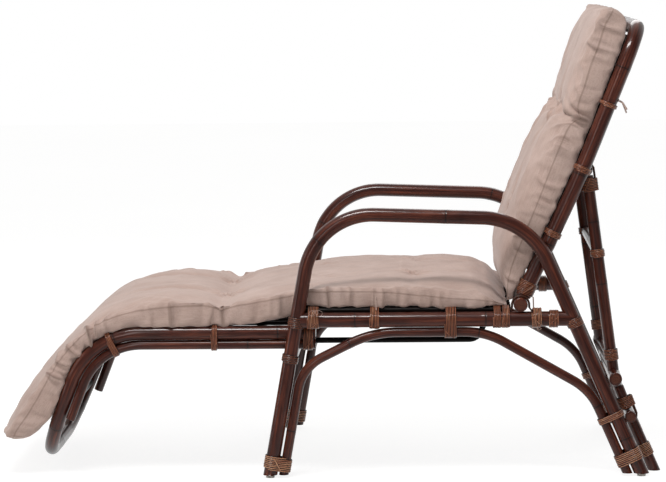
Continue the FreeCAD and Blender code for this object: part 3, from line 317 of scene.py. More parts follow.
@dataclass(frozen=True)
class ClothFinish:
    """Plain-woven cotton and polyester canvas, piece-dyed in a warm taupe.

    The weave's threads are 0.5 mm apart and are drawn 1.4 mm apart, because finer ones don't show.
    The sewn edge shows as one thin darker line, and the inside of a fold is darker too, as painted shade.
    """
    name: str
    base: str
    shade: str
    pale: str
    seam: str
    thread_m: float = 0.0014

    def build(self) -> bpy.types.Material:
        """Builds the material from weave, mottling, slubs, the seam's line and the painted shade of the folds.
        """
        material, tree, shader = new_material(self.name)
        place = attribute(tree, "cloth", "Vector")
        edge = add_node(tree, "ShaderNodeSeparateXYZ", {"Vector": place}).outputs["Z"]
        across = 1 / self.thread_m
        warp = stretched(tree, place, (across * 0.08, across, across), 1.0, 0.5, (2.0, 8.0, 1.0))
        weft = stretched(tree, place, (across, across * 0.08, across), 1.0, 0.5, (5.0, 1.0, 3.0))
        woven = computed(tree, "MAXIMUM", warp, weft)
        slub = stretched(tree, place, (30.0, 700.0, 60.0), 2.0, 0.6)
        cloud = stretched(tree, place, (11.0, 11.0, 11.0), 3.0, 0.55, (4.0, 2.0, 6.0))
        body = ramp(tree, mixed_value(tree, 0.35, cloud, slub),
                    [(0.3, self.shade), (0.5, self.base), (0.72, self.pale)])
        net = ramp(tree, woven, [(0.35, "E8E6E6"), (0.65, "FFFFFF")])
        cloth = mixed_colour(tree, 0.8, body, net, "MULTIPLY")
        sewn = mixed_colour(tree, ranged(tree, edge, 0.0003, 0.0013, 0.5, 0.0), cloth, linear(self.seam))
        # painted shade: the edge folds' depth darkens the cloth towards the seam's colour
        depth = computed(tree, "MULTIPLY", attribute(tree, "fold"), 0.62)
        fill(tree, shader, {
            "Base Color": mixed_colour(tree, depth, sewn, linear(self.seam)),
            "Roughness": 0.88, "Sheen Weight": 0.25, "Sheen Roughness": 0.5, "Specular IOR Level": 0.22})
        groove = ranged(tree, edge, 0.0, 0.004, -1.5, 0.0)
        bumped(tree, shader, computed(tree, "ADD", woven, groove), 0.00025, 0.5)
        return material


@dataclass(frozen=True)
class GlideFinish:
    """Moulded polyethylene: pale, matt and slightly scuffed from the floor."""
    name: str
    base: str
    scuffed: str

    def build(self) -> bpy.types.Material:
        """Builds the material from scuffs in Object coordinates."""
        material, tree, shader = new_material(self.name)
        place = add_node(tree, "ShaderNodeTexCoord").outputs["Object"]
        scuff = stretched(tree, place, (300.0, 300.0, 60.0), 3.0)
        fill(tree, shader, {"Base Color": ramp(tree, scuff, [(0.35, self.scuffed), (0.6, self.base)]),
                            "Roughness": 0.55})
        return material


class Finish(Enum):
    """The finishes of the lounger, by its pieces."""
    POLE = CaneFinish("stained_lacquered_rattan_pole", "2B100A", "4B1F14", "7C3E28", "150806", "6B3A26",
                      0.34, 0.65, 0.1)
    # near-black cane: dark cane deepened with painted shade, for the canes, bars and rods under and behind the
    # pads
    DARK_CANE_PAINTED_SHADE = CaneFinish("dark_cane_painted_shade", "060303", "0E0706", "1C0F0B", "040202", "2A1810",
                           0.42, 0.12, 0.3, 420.0, specular=0.12)
    BENT_CANE = CaneFinish("thin_bent_cane", "2A130C", "4A2718", "6E412A", "1A0B07", "6B3A26",
                           0.4, 0.35, 0.2, 500.0)
    # the peel's dark colour is painted shade between the turns
    PEEL = PeelFinish("wound_rattan_peel", "0C0503", "985638", "E2AC84")
    # the cloth's seam colour also paints the shade inside the folds
    CLOTH = ClothFinish("taupe_woven_canvas", "BDA499", "B1978C", "C9B1A7", "7A6358")
    GLIDE = GlideFinish("pale_moulded_glide", "C9C5BC", "A7A197")


# Meshes from arrays

@dataclass
class Shell:
    """Points, faces and point values of a piece before it becomes a mesh."""
    points: Array
    quads: Array
    caps: list[tuple[int, ...]] = field(default_factory=list)
    values: dict[str, Array] = field(default_factory=dict)


def join(shells: list[Shell]) -> Shell:
    """Puts several shells into one, with their faces' numbers moved on.

    Args:
        shells: shells that hold the same named values.

    Returns:
        The joined shell.
    """
    starts = np.cumsum([0] + [len(s.points) for s in shells[:-1]])
    caps = [tuple(int(k + n) for k in cap) for s, n in zip(shells, starts) for cap in s.caps]
    values = {key: np.concatenate([s.values[key] for s in shells]) for key in shells[0].values}
    return Shell(np.concatenate([s.points for s in shells]),
                 np.concatenate([s.quads + n for s, n in zip(shells, starts)]), caps, values)


def to_object(name: str, shell: Shell, material: bpy.types.Material) -> Object:
    """Makes a smooth-shaded object from a shell.

    Args:
        name: the piece's name.
        shell: its points, faces and values.
        material: its finish.

    Returns:
        The new object, at the origin.
    """
    mesh = bpy.data.meshes.new(name)
    mesh.from_pydata(shell.points.tolist(), [], shell.quads.tolist() + [list(c) for c in shell.caps])
    for key, value in shell.values.items():
        kind, member = ("FLOAT_VECTOR", "vector") if value.ndim == 2 else ("FLOAT", "value")
        layer = mesh.attributes.new(key, kind, "POINT")
        layer.data.foreach_set(member, value.astype(np.float32).ravel())
    mesh.polygons.foreach_set("use_smooth", np.ones(len(mesh.polygons), bool))
    mesh.materials.append(material)
    mesh.update()
    made = bpy.data.objects.new(name, mesh)
    bpy.context.scene.collection.objects.link(made)
    return made


def coordinates(piece: Object) -> Array:
    """Returns a mesh object's points as an array."""
    flat = np.zeros(len(piece.data.vertices) * 3)
    piece.data.vertices.foreach_get("co", flat)
    return flat.reshape(-1, 3)


def surface_ways(mesh: bpy.types.Mesh) -> Array:
    """Returns the outward direction of the surface at each point of a mesh."""
    flat = np.zeros(len(mesh.vertices) * 3, np.float32)
    mesh.vertex_normals.foreach_get("vector", flat)
    return flat.reshape(-1, 3)


def point_values(mesh: bpy.types.Mesh, name: str) -> Array:
    """Returns the numbers or vectors that a mesh carries at its points under a name."""
    layer = mesh.attributes[name]
    wide = layer.data_type == "FLOAT_VECTOR"
    flat = np.zeros(len(mesh.vertices) * (3 if wide else 1), np.float32)
    layer.data.foreach_get("vector" if wide else "value", flat)
    return flat.reshape(-1, 3) if wide else flat


def unit(vectors: Array) -> Array:
    """Scales each vector to length 1."""
    return vectors / np.maximum(np.linalg.norm(vectors, axis=-1, keepdims=True), 1e-12)


def rounded_line(corners: list, bends: list | tuple = ()) -> Array:
    """Returns a fine polyline through corners whose inner ones are rounded by arcs.

    An arc of radius R leaves its corner by R times the tangent of half the turn.

    Args:
        corners: points in metres.
        bends: one radius for each inner corner, 0 for a sharp one.

    Returns:
        Points along the line, about 1.5 degrees apart on the arcs.
    """
    points = [np.asarray(c, float) for c in corners]
    line = [points[0][None]]
    for before, corner, after, radius in zip(points, points[1:], points[2:], bends):
        way_in, way_out = unit(corner - before), unit(after - corner)
        turn = math.acos(float(np.clip(way_in @ way_out, -1, 1)))
        if turn < 1e-4 or radius <= 0:
            line.append(corner[None])
            continue
        inward = unit(way_out - way_in * (way_in @ way_out))
        start = corner - way_in * radius * math.tan(turn / 2)
        steps = np.linspace(0, turn, max(4, int(math.degrees(turn) / 1.5)))[:, None]
        line.append(start + radius * (way_in * np.sin(steps) + inward * (1 - np.cos(steps))))
    line.append(points[-1][None])
    return np.concatenate(line)


def lengths_of(line: Array) -> Array:
    """Returns the distance of each point of a line from its start, along it."""
    return np.concatenate([[0], np.cumsum(np.linalg.norm(np.diff(line, axis=0), axis=1))])


def columns_at(wanted: Array, known: Array, values: Array) -> Array:
    """Reads each column of a table, whose rows lie at known places, at wanted places."""
    return np.stack([np.interp(wanted, known, column) for column in values.T], axis=1)


def at_lengths(line: Array, wanted: Array) -> Array:
    """Returns the points of a line at some distances from its start."""
    return columns_at(wanted, lengths_of(line), line)


def sweep(centre: Array, across: Array, out: Array, half_width: Array,
          half_depth: Array, sides: int,
          square: float = 1.0) -> tuple[Array, Array, list[tuple[int, ...]]]:
    """Carries an oval along a line: centre + across w c(a) + out d s(a), for angle a round the oval.

    c and s are the cosine and sine to the power square, with their signs kept, so that a power below
    1 makes a fuller, flatter oval.

    Args:
        centre: stations of the line.
        across: unit vectors for the width at each station.
        out: unit vectors for the depth at each station.
        half_width: half the width at each station.
        half_depth: half the depth at each station.
        sides: points round the oval.
        square: the power, 1 for a true oval.

    Returns:
        Points of shape (stations, sides, 3), the quads, and the two end faces.
    """
    angle = np.arange(sides) * 2 * math.pi / sides
    c = np.sign(np.cos(angle)) * np.abs(np.cos(angle)) ** square
    s = np.sign(np.sin(angle)) * np.abs(np.sin(angle)) ** square
    points = (centre[:, None] + across[:, None] * (half_width[:, None] * c)[..., None]
              + out[:, None] * (half_depth[:, None] * s)[..., None])
    count = len(centre)
    first = (np.arange(count - 1) * sides)[:, None] + np.arange(sides)
    after = (np.arange(count - 1) * sides)[:, None] + (np.arange(sides) + 1) % sides
    quads = np.stack([first, after, after + sides, first + sides], axis=-1).reshape(-1, 4)
    caps = [tuple(range(sides - 1, -1, -1)), tuple(range((count - 1) * sides, count * sides))]
    return points, quads, caps


def carried_frames(tangent: Array) -> tuple[Array, Array]:
    """Carries a pair of vectors square to a line along it without twist, from +Y where that serves.

    Args:
        tangent: unit direction of the line at each station.

    Returns:
        The two unit vectors at each station, so that across x out points along the line.
    """
    across = np.zeros_like(tangent)
    current = AXIS_Y if abs(tangent[0] @ AXIS_Y) < 0.9 else AXIS_Z
    for k, way in enumerate(tangent):
        current = unit(current - way * (current @ way))
        across[k] = current
    return across, np.cross(tangent, across)


# Distances in mm from a growth ring where a pole gets a station
NEAR_RING = np.array([-9, -5, -2.6, -1.2, 0, 1.2, 2.6, 5, 9])


@dataclass
class Pole:
    """One stained cane pole: a tube along a bent line, with growth rings, slight swellings and cut ends."""
    corners: list
    bends: list | tuple = ()
    radius: float = 0.015
    seed: int = 0
    sides: int = 24
    ring_step: float = 0.26
    ring_swell: float = 0.03
    waver: float = 0.006
    end_round: float = 0.0012
    floor: float | None = None
    swell_width: float = 0.0075
    groove_depth: float = 0.00035
    groove_width: float = 0.0009
    least_gap: float = 0.004

    def build(self) -> Shell:
        """Builds the tube.

        Its radius is r (1 + swell of the rings + slow waver), and a fine groove marks each ring. A
        pole that stands on the floor has the points below that level slid along it up to the level.

        Returns:
            The shell with the values grain, ring and cut.
        """
        chance = np.random.default_rng(1000 + self.seed)
        line = rounded_line(self.corners, self.bends)
        length = lengths_of(line)[-1]
        rings = self.ring_places(chance, length)
        near = (rings[:, None] + NEAR_RING * 1e-3).ravel()
        near = near[(near > self.least_gap) & (near < length - self.least_gap)]
        even = np.linspace(0, length, max(3, int(length / 0.008)))
        along = np.unique(np.round(np.concatenate([even, near]), 5))
        edge = self.end_round
        ends = np.array([0, 0, 0, edge * 0.3, edge])
        shrink = np.array([0.02, 0.55, 1 - edge / self.radius, 1 - edge * 0.3 / self.radius, 1])
        inner = along[(along > 2.5 * edge) & (along < length - 2.5 * edge)]
        stations = np.concatenate([ends, inner, length - ends[::-1]])
        share = np.concatenate([shrink, np.ones(len(inner)), shrink[::-1]])
        centre = at_lengths(line, stations)
        tangent = unit(at_lengths(line, np.minimum(stations + 0.002, length))
                       - at_lengths(line, np.maximum(stations - 0.002, 0)))
        across, out = carried_frames(tangent)
        gap = np.abs(stations[:, None] - rings[None]) if len(rings) else np.full((len(stations), 1), 9.0)
        swell = self.ring_swell * np.exp(-(gap / self.swell_width) ** 2).max(axis=1)
        groove = self.groove_depth * np.exp(-(gap / self.groove_width) ** 2).max(axis=1)
        phases = chance.uniform(0, 6.28, 3)
        slow = self.waver * sum(np.sin(stations * f + p) for f, p in zip((9.0, 23.0, 41.0), phases)) / 3
        radius = (self.radius * (1 + swell + slow) - groove) * share
        points, quads, caps = sweep(centre, across, out, radius, radius, self.sides)
        angle = np.arange(self.sides) * 2 * math.pi / self.sides
        grain = np.empty(points.shape)
        grain[..., 0] = (stations + self.seed * 1.37)[:, None]
        grain[..., 1] = self.radius * np.cos(angle) * share[:, None]
        grain[..., 2] = self.radius * np.sin(angle) * share[:, None]
        mark = 0.85 * np.exp(-(gap / 0.0011) ** 2).max(axis=1) + 0.22 * np.exp(-(gap / 0.006) ** 2).max(axis=1)
        cut = np.zeros(len(stations))
        cut[:2] = cut[-2:] = 1
        if self.floor is not None:
            low = points[..., 2] < self.floor
            slope = np.broadcast_to(tangent[:, None], points.shape)
            slide = (self.floor - points[..., 2]) / np.where(np.abs(slope[..., 2]) < 0.2, 1, slope[..., 2])
            points = np.where(low[..., None], points + slope * slide[..., None], points)
        values = {"grain": grain.reshape(-1, 3), "ring": np.repeat(np.minimum(mark, 1), self.sides),
                  "cut": np.repeat(cut, self.sides)}
        return Shell(points.reshape(-1, 3), quads, caps, values)

    def ring_places(self, chance: np.random.Generator, length: float) -> Array:
        """Returns where the growth rings lie, unevenly spaced, none near the ends."""
        step = self.ring_step
        if step <= 0 or length < step * 0.6:
            return np.zeros(0)
        places = np.cumsum(chance.uniform(0.75, 1.25, 60) * step) - step * chance.uniform(0.2, 0.7)
        return places[(places > 0.02) & (places < length - 0.02)]


def straight(start: tuple | Array, end: tuple | Array, radius: float, seed: int, **more) -> Pole:
    """Returns a straight pole between two points."""
    return Pole([start, end], (), radius, seed, **more)


def cross_pole(x: float, z: float, half: float, radius: float, seed: int, **more) -> Pole:
    """Returns a pole that runs from one side to the other at an X and a height."""
    return Pole([(x, -half, z), (x, half, z)], (), radius, seed, **more)


def line_x(low: Pair, high: Pair, z: float) -> float:
    """Returns X at height z on the line through two (X, Z) points."""
    return low[0] + (high[0] - low[0]) * (z - low[1]) / (high[1] - low[1])


# Wound peel

def hull_outline(circles: list[Triple], grow: float,
                 count: int) -> tuple[Array, Array]:
    """Returns points and normals round several circles, evenly spaced.

    In each direction n the outline's point is c + (r + grow) n of the circle whose c.n + r is largest.

    Args:
        circles: centre u, centre v and radius of each.
        grow: distance of the outline outside the circles.
        count: points wanted.

    Returns:
        Points of shape (count, 2) and outward normals.
    """
    angle = np.linspace(0, 2 * math.pi, 1441)
    normal = np.stack([np.cos(angle), np.sin(angle)], axis=1)
    data = np.array(circles)
    reach = normal @ data[:, :2].T + data[:, 2]
    best = data[reach.argmax(axis=1)]
    points = best[:, :2] + normal * (best[:, 2] + grow)[:, None]
    along = lengths_of(points)
    wanted = np.arange(count) / count * along[-1]
    around = np.interp(wanted, along, angle)
    return columns_at(wanted, along, points), np.stack([np.cos(around), np.sin(around)], axis=1)


@dataclass
class Lashing:
    """Peel wound side by side round one pole or several, with tucked ends and one locking strand."""
    place: tuple | Array
    axis: tuple | Array
    side_way: tuple | Array
    circles: list[Triple]
    turns: int
    seed: int = 0
    face: float = -90.0
    peel: float = 0.0038
    play: float = 0.0002
    thick: float = 0.003
    tone: float = 0.0
    tuck: float = 0.12
    lock_points: int = 16
    stations_per_turn: int = 44
    outline_points: int = 480
    sides: int = 10

    def build(self) -> Shell:
        """Builds the wound strand and the lock.

        The strand follows the poles' common outline while it moves on by one peel's width a turn. A
        slow uneven drift makes the turns look hand-wound, and both ends sink under the others.
        """
        chance = np.random.default_rng(500 + self.seed)
        tuck = self.tuck
        turn = np.linspace(-tuck, self.turns + tuck, int((self.turns + 2 * tuck) * self.stations_per_turn))
        drift = sum(np.sin(turn * f + p) for f, p in zip((2.1, 5.3, 9.7), chance.uniform(0, 6.28, 3))) / 3
        step = (self.turns - 1) / max(self.turns, 1)
        level = (turn / self.turns - 0.5) * self.peel * self.turns * step + drift * 0.00028
        sink = np.clip(np.maximum(-turn, turn - self.turns) / tuck, 0, 1) ** 2
        lift = 0.0002 * np.sin(turn * 3.3 + chance.uniform(0, 6.28)) - 0.0016 * sink
        width = self.peel * 0.5 * (0.93 + 0.05 * np.sin(turn * 4.1 + chance.uniform(0, 6.28)))
        faced = math.radians(self.face) / (2 * math.pi)
        wound = self.strand(turn + faced, level, lift, width, 0.0)
        spots = np.linspace(0, 1, self.lock_points)
        start = chance.uniform(0.02, 0.1) + faced - 0.09
        span = self.peel * (self.turns - 1) * 0.5
        rise = 0.0013 * np.sin(spots * math.pi) ** 0.5 - 0.0006
        lock = self.strand(start + spots * 0.14, (spots * 2 - 1) * span * chance.choice([-1.0, 1.0]), rise,
                           np.full(self.lock_points, self.peel * 0.42), 7.7)
        return join([wound, lock])

    def strand(self, turn: Array, level: Array, lift: Array, width: Array,
               offset: float) -> Shell:
        """Carries the peel's flat oval along turns round the outline.

        Args:
            turn: place round the outline, in turns.
            level: place along the axis.
            lift: distance outside the outline.
            width: half the peel's width.
            offset: start of the grain, so that strands differ.

        Returns:
            The strand's shell.
        """
        count, depth = self.outline_points, self.thick * 0.5
        outline, normals = hull_outline(self.circles, self.play + depth, count)
        where, wrap = np.mod(turn, 1) * count, np.arange(count + 1)
        flat = columns_at(where, wrap, np.concatenate([outline, outline[:1]]))
        facing = unit(columns_at(where, wrap, np.concatenate([normals, normals[:1]])))
        axis = unit(np.asarray(self.axis, float))
        u = unit(np.asarray(self.side_way, float))
        v = np.cross(axis, u)
        out = facing[:, :1] * u + facing[:, 1:] * v
        centre = (np.asarray(self.place, float) + flat[:, :1] * u + flat[:, 1:] * v + axis * level[:, None]
                  + out * lift[:, None])
        tangent = unit(np.gradient(centre, axis=0))
        across = unit(np.cross(out, tangent))
        points, quads, caps = sweep(centre, across, np.cross(tangent, across), width,
                                    np.full(len(turn), depth), self.sides)
        away = points - centre[:, None]
        grain = np.zeros(points.shape)
        grain[..., 0] = (lengths_of(centre) + self.seed * 0.71 + offset)[:, None]
        grain[..., 1] = (away * across[:, None]).sum(-1)
        # crest runs from 0 at the strand's sides to 1 on its top; the peel paints shade where it is low
        crest = np.clip((away * out[:, None]).sum(-1) / depth, 0, 1)
        values = {"grain": grain.reshape(-1, 3), "crest": crest.reshape(-1),
                  "tone": np.full(crest.size, self.tone)}
        return Shell(points.reshape(-1, 3), quads, caps, values)


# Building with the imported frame

class Workshop:
    """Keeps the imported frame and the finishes, and places pieces on bodies."""

    def __init__(self, frame: dict) -> None:
        """Builds every finish once."""
        record = frame["record"]
        self.frame = frame
        self.paint = {finish: finish.value.build() for finish in Finish}
        self.body_of = {node: body for body, nodes in record["behaviour"]["bodies"].items() for node in nodes}
        self.slot_of = {part["node"]: part["material_slot"] for part in record["subparts"]}

    def stand_for(self, node: str, shell: Shell, finish: Finish, extra: str = "") -> Object:
        """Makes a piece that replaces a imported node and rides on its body.

        Args:
            node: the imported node.
            shell: the new piece's shape.
            finish: its finish.
            extra: words added to the piece's name.

        Returns:
            The piece.
        """
        piece = to_object(f"{node}{extra}_dressed", shell, self.paint[finish])
        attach(piece, self.body_of[node])
        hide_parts(node)
        LOG.info("%s: %d faces", piece.name, len(piece.data.polygons))
        return piece

    def repaint(self, node: str, finish: Finish) -> None:
        """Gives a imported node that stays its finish."""
        mesh = self.frame["nodes"][node].data
        mesh.materials.clear()
        mesh.materials.append(self.paint[finish])
        LOG.info("%s keeps its packed shape", node)

    def poles(self, node: str, poles: list[Pole], finish: Finish = Finish.POLE) -> Object:
        """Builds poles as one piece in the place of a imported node."""
        return self.stand_for(node, join([pole.build() for pole in poles]), finish)

    def lashings(self, node: str, lashings: list[Lashing]) -> Object:
        """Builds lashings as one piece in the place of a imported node."""
        return self.stand_for(node, join([item.build() for item in lashings]), Finish.PEEL)


@dataclass
class SideFrames:
    """The two side loops with their rails and arch braces, and the bars and deck between them."""
    spacing: float = 0.300
    loop_radius: float = 0.015
    loop_bends: Pair = (0.147, 0.155)
    front_low: Pair = (-0.128, 0.0)
    front_high: Pair = (-0.024, 0.569)
    rear_low: Pair = (0.670, 0.0)
    rear_high: Pair = (0.429, 0.553)
    rail_z: float = 0.3395
    rail_radius: float = 0.016
    brace_radius: float = 0.01025
    brace_z: float = 0.31275
    brace_level: Pair = (0.095, 0.336)
    brace_knees: Pair = (0.238, 0.185)
    brace_bends: tuple[float, ...] = (0.095, 0.230, 0.170, 0.130)
    front_side: float = 0.02892
    rear_side: float = 0.030
    post_side: float = 0.238
    post_radius: float = 0.01225
    floor: float = 0.006
    deck_z: float = 0.3585
    deck_radius: float = 0.0055
    deck_half: float = 0.285
    deck_ends: Pair = (-0.050, 0.391)
    deck_gaps: int = 14

    def build(self, shop: Workshop) -> None:
        """Builds every pole, cane and lashing of the fixed frame."""
        for number, (side, sign) in enumerate(SIDES):
            self.side(shop, side, sign, number * 20)
        self.between(shop)
        self.deck(shop)
        shop.repaint("foot_glides", Finish.GLIDE)

    def front_x(self, z: float) -> float:
        """Returns X of the front leg's axis at a height."""
        return line_x(self.front_low, self.front_high, z)

    def rear_x(self, z: float) -> float:
        """Returns X of the rear leg's axis at a height."""
        return line_x(self.rear_low, self.rear_high, z)

    def leg_slopes(self) -> tuple[Array, Array]:
        """Returns the unit directions up the front leg and down the rear leg."""
        front = unit(np.array([self.front_high[0] - self.front_low[0], 0, self.front_high[1]]))
        rear = unit(np.array([self.rear_low[0] - self.rear_high[0], 0, -self.rear_high[1]]))
        return front, rear

    def side(self, shop: Workshop, side: str, sign: int, seed: int) -> None:
        """Builds one side's loop, rail, brace, post and lashings."""
        y = sign * self.spacing
        below = -0.02
        shop.poles(f"arm_loop_{side}", [Pole(
            [(self.front_x(below), y, below), (self.front_high[0], y, self.front_high[1]),
             (self.rear_high[0], y, self.rear_high[1]), (self.rear_x(below), y, below)],
            self.loop_bends, self.loop_radius, seed + 1, 28, 0.34, 0.025, floor=self.floor)])
        z = self.rail_z
        shop.poles(f"seat_rail_{side}", [straight((self.front_x(z), y, z), (self.rear_x(z), y, z),
                                                  self.rail_radius, seed + 2, sides=28, ring_step=0.3)])
        front, rear = self.brace_knees
        shop.poles(f"arch_brace_{side}", [Pole(
            [(self.front_x(below) + self.front_side, y, below),
             (self.front_x(front) + self.front_side, y, front),
             (self.brace_level[0], y, self.brace_z), (self.brace_level[1], y, self.brace_z),
             (self.rear_x(rear) - self.rear_side, y, rear),
             (self.rear_x(below) - self.rear_side, y, below)],
            self.brace_bends, self.brace_radius, seed + 3, 22, 0.28, 0.035, floor=self.floor)])
        top, down = self.post_line(sign)
        shop.poles(f"rear_post_{side}", [straight(top, top + down * 0.146, self.post_radius, seed + 4,
                                                  floor=0.0, ring_step=0)])
        shop.lashings(f"frame_lashings_{side}", self.side_lashings(sign, seed))

    def post_line(self, sign: int) -> tuple[Array, Array]:
        """Returns a rear post's top and its way down per metre of height."""
        _, down = self.leg_slopes()
        return np.array([LOWER_BAR[0], sign * self.post_side, LOWER_BAR[1]]), down / -down[2]

    def side_lashings(self, sign: int, seed: int) -> list[Lashing]:
        """Returns the lashings of one side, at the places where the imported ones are."""
        y = sign * self.spacing
        up, down = self.leg_slopes()
        behind = np.array([-down[2], 0, down[0]])
        loop = [(0.0, 0.0, self.loop_radius)]
        found = [Lashing((self.front_x(z), y, z), up, AXIS_Y, loop, turns, peel=0.0049)
                 for z, turns in ((self.rail_z - 0.005, 5), (0.25705, 4))]
        z = self.rail_z - 0.008
        found.append(Lashing((self.rear_x(z), y, z), down, AXIS_Y, loop, 5, peel=0.0042))
        rail = (0.0, 0.0, self.rail_radius)
        edge = (sign * -0.015, self.deck_z - self.rail_z, self.deck_radius)
        brace = (0.0, self.brace_z - self.rail_z, self.brace_radius)
        tail = (0.0, 0.0185, 0.0025)
        found += [Lashing((x, y, self.rail_z), AXIS_X, AXIS_Y, circles, turns) for x, turns, circles in
                  ((-0.031, 7, [rail, edge]), (0.100, 6, [rail, edge]), (0.262, 7, [rail, edge, brace]),
                   (0.3605, 5, [rail, edge]), (0.3791, 5, [rail, edge, tail]), (0.4447, 6, [rail, tail]),
                   (0.481, 6, [rail]))]
        z = 0.033
        found.append(Lashing((self.front_x(z), y, z), up, (up[2], 0, -up[0]),
                             loop + [(self.front_side * up[2], 0.0, self.brace_radius)], 7, peel=0.0046))
        pair = loop + [(-self.rear_side * behind[0], 0.0, self.brace_radius)]
        found += [Lashing((self.rear_x(z), y, z), down, behind, pair, turns, peel=0.0046)
                  for z, turns in ((0.132, 4), (0.046, 7))]
        top, way = self.post_line(sign)
        found.append(Lashing(top + way * 0.080, down, AXIS_Y, [(0.0, 0.0, self.post_radius)], 8))
        tones = (-0.16, -0.16, -0.04, 0.04, 0.02, 0.0, -0.02, 0.02, 0.06, 0.0, 0.12, 0.04, 0.08, 0.1)
        for number, (item, tone) in enumerate(zip(found, tones)):
            item.seed = seed * 3 + number
            item.tone = tone
            item.face = 90.0 * sign if item.side_way[0] != 0 else (180.0 if sign < 0 else 0.0)
        return found

    def between(self, shop: Workshop) -> None:
        """Builds the bars that run from side to side, the slide rods and the arches."""
        shop.poles("lower_bar", [cross_pole(*LOWER_BAR, 0.299, 0.012, 51, ring_step=0.22)])
        shop.poles("front_bar", [cross_pole(-0.0814, 0.25505, 0.298, self.loop_radius, 52)])
        shop.poles("seat_bars", [cross_pole(x, 0.342, 0.296, 0.011, 53 + n)
                                 for n, x in enumerate((0.008, 0.173, 0.338))], Finish.DARK_CANE_PAINTED_SHADE)
        rod = ((-0.0964, 0.27625), (-0.0664, 0.27625), (-0.0499, 0.287), (0.320, 0.287), (0.338, 0.3279))
        arch = ((0.3707, 0.358), (0.3927, 0.358), (0.3927, 0.3888), (0.4293, 0.3888), (0.4293, 0.358),
                (0.4513, 0.358))
        arches = []
        for number, (side, sign) in enumerate(SIDES):
            shop.poles(f"slide_rod_{side}", [Pole([(x, sign * 0.235, z) for x, z in rod], [0.02, 0.02, 0.026],
                                                  0.0062, 60 + number, 16, 0)], Finish.DARK_CANE_PAINTED_SHADE)
            arches.append(Pole([(x, sign * self.spacing, z) for x, z in arch], [0.004, 0.0182, 0.0182, 0.004],
                               0.0025, 65 + number, 12, 0, end_round=0.0006))
        shop.poles("pivot_arches", arches, Finish.BENT_CANE)

    def deck(self, shop: Workshop) -> None:
        """Builds the seat deck's canes, which run lengthwise on the seat bars."""
        front, rear = self.deck_ends
        z = self.deck_z
        for number, (side, sign) in enumerate(SIDES):
            y = sign * self.deck_half
            shop.poles(f"deck_edge_{side}", [straight((front, y, z), (rear, y, z), self.deck_radius,
                                                      70 + number, sides=14)], Finish.DARK_CANE_PAINTED_SHADE)
        step = 2 * self.deck_half / self.deck_gaps
        places = [-self.deck_half + step * (n + 1) for n in range(self.deck_gaps - 1)]
        # the deck canes' near-black colour paints the shade under the seat pad
        shop.poles("deck_canes", [straight((front, y, z), (rear, y, z), self.deck_radius, 75 + n, sides=12)
                                  for n, y in enumerate(places)], Finish.DARK_CANE_PAINTED_SHADE)


@dataclass
class Backrest:
    """The bent back frame with its bars and canes, the pivot bar, and the prop's hinge bar."""
    pivot: Pair = (0.411, 0.3705)
    foot: Pair = (0.41746, 0.38404)
    knee: Pair = (0.5395, 0.640)
    top: Pair = (0.66401, 0.952)
    half: float = 0.262
    radius: float = 0.0165
    bow: float = 2.5
    bar_heights: tuple[float, ...] = (0.444, 0.566, 0.728, 0.866)
    cane_ends: Pair = (0.430, 0.932)
    cane_step: float = 0.052
    lashed: tuple[tuple[float, int], ...] = ((0.792, 3), (0.6555, 4), (0.518, 4), (0.402, 8))

    def axis_line(self) -> Array:
        """Returns the line of the back poles' axis at Y 0."""
        return rounded_line([(x, 0, z) for x, z in (self.pivot, self.knee, self.top)], [self.bow])

    def on_back(self, z: float) -> tuple[Array, Array]:
        """Returns the axis' point at a height and the direction up the pole."""
        line = self.axis_line()
        here = np.array([np.interp(z, line[:, 2], line[:, 0]), 0, z])
        above = np.array([np.interp(z + 0.004, line[:, 2], line[:, 0]), 0, z + 0.004])
        return here, unit(above - here)

    def build(self, shop: Workshop) -> None:
        """Builds the backrest's poles, canes and lashings."""
        shop.poles("pivot_bar", [cross_pole(*self.pivot, 0.312, 0.015, 101, ring_step=0.24, end_round=0.002)])
        way_up = (self.foot, self.knee, self.top)
        shop.poles("back_frame", [Pole(
            [(x, -self.half, z) for x, z in way_up] + [(x, self.half, z) for x, z in way_up[::-1]],
            [self.bow, 0.07, 0.07, self.bow], self.radius, 102, 28, 0.21, 0.035)])
        shop.poles("back_bars", [cross_pole(self.on_back(z)[0][0], z, 0.258, 0.010, 103 + n, ring_step=0.2)
                                 for n, z in enumerate(self.bar_heights)], Finish.DARK_CANE_PAINTED_SHADE)
        (low, low_up), (high, high_up) = [self.on_back(z) for z in self.cane_ends]
        knee = np.array([self.knee[0], 0, self.knee[1]])
        ends = [self.behind(point, up, -0.015)
                for point, up in ((low, low_up), (knee, unit(low_up + high_up)), (high, high_up))]
        # the back canes run up near the top bar, and their near-black colour paints the shade behind the back
        # pad
        shop.poles("back_canes", [Pole([p + AXIS_Y * (n - 4) * self.cane_step for p in ends], [self.bow], 0.005,
                                       110 + n, 12) for n in range(9)], Finish.DARK_CANE_PAINTED_SHADE)
        shop.poles("prop_hinge_bar", [cross_pole(*HINGE_BAR, 0.2485, 0.01225, 120, ring_step=0.2)])
        lashings = []
        for sign in (-1, 1):
            for number, (z, turns) in enumerate(self.lashed):
                here, up = self.on_back(z)
                lashings.append(Lashing((here[0], sign * self.half, z), up, AXIS_Y, [(0.0, 0.0, self.radius)],
                                        turns, 150 + number + sign, 180.0 if sign < 0 else 0.0))
        shop.lashings("back_lashings", lashings)

    @staticmethod
    def behind(point: Array, up: Array, distance: float) -> Array:
        """Moves a point square to the backrest, towards its rear."""
        return point + np.array([up[2], 0, -up[0]]) * distance


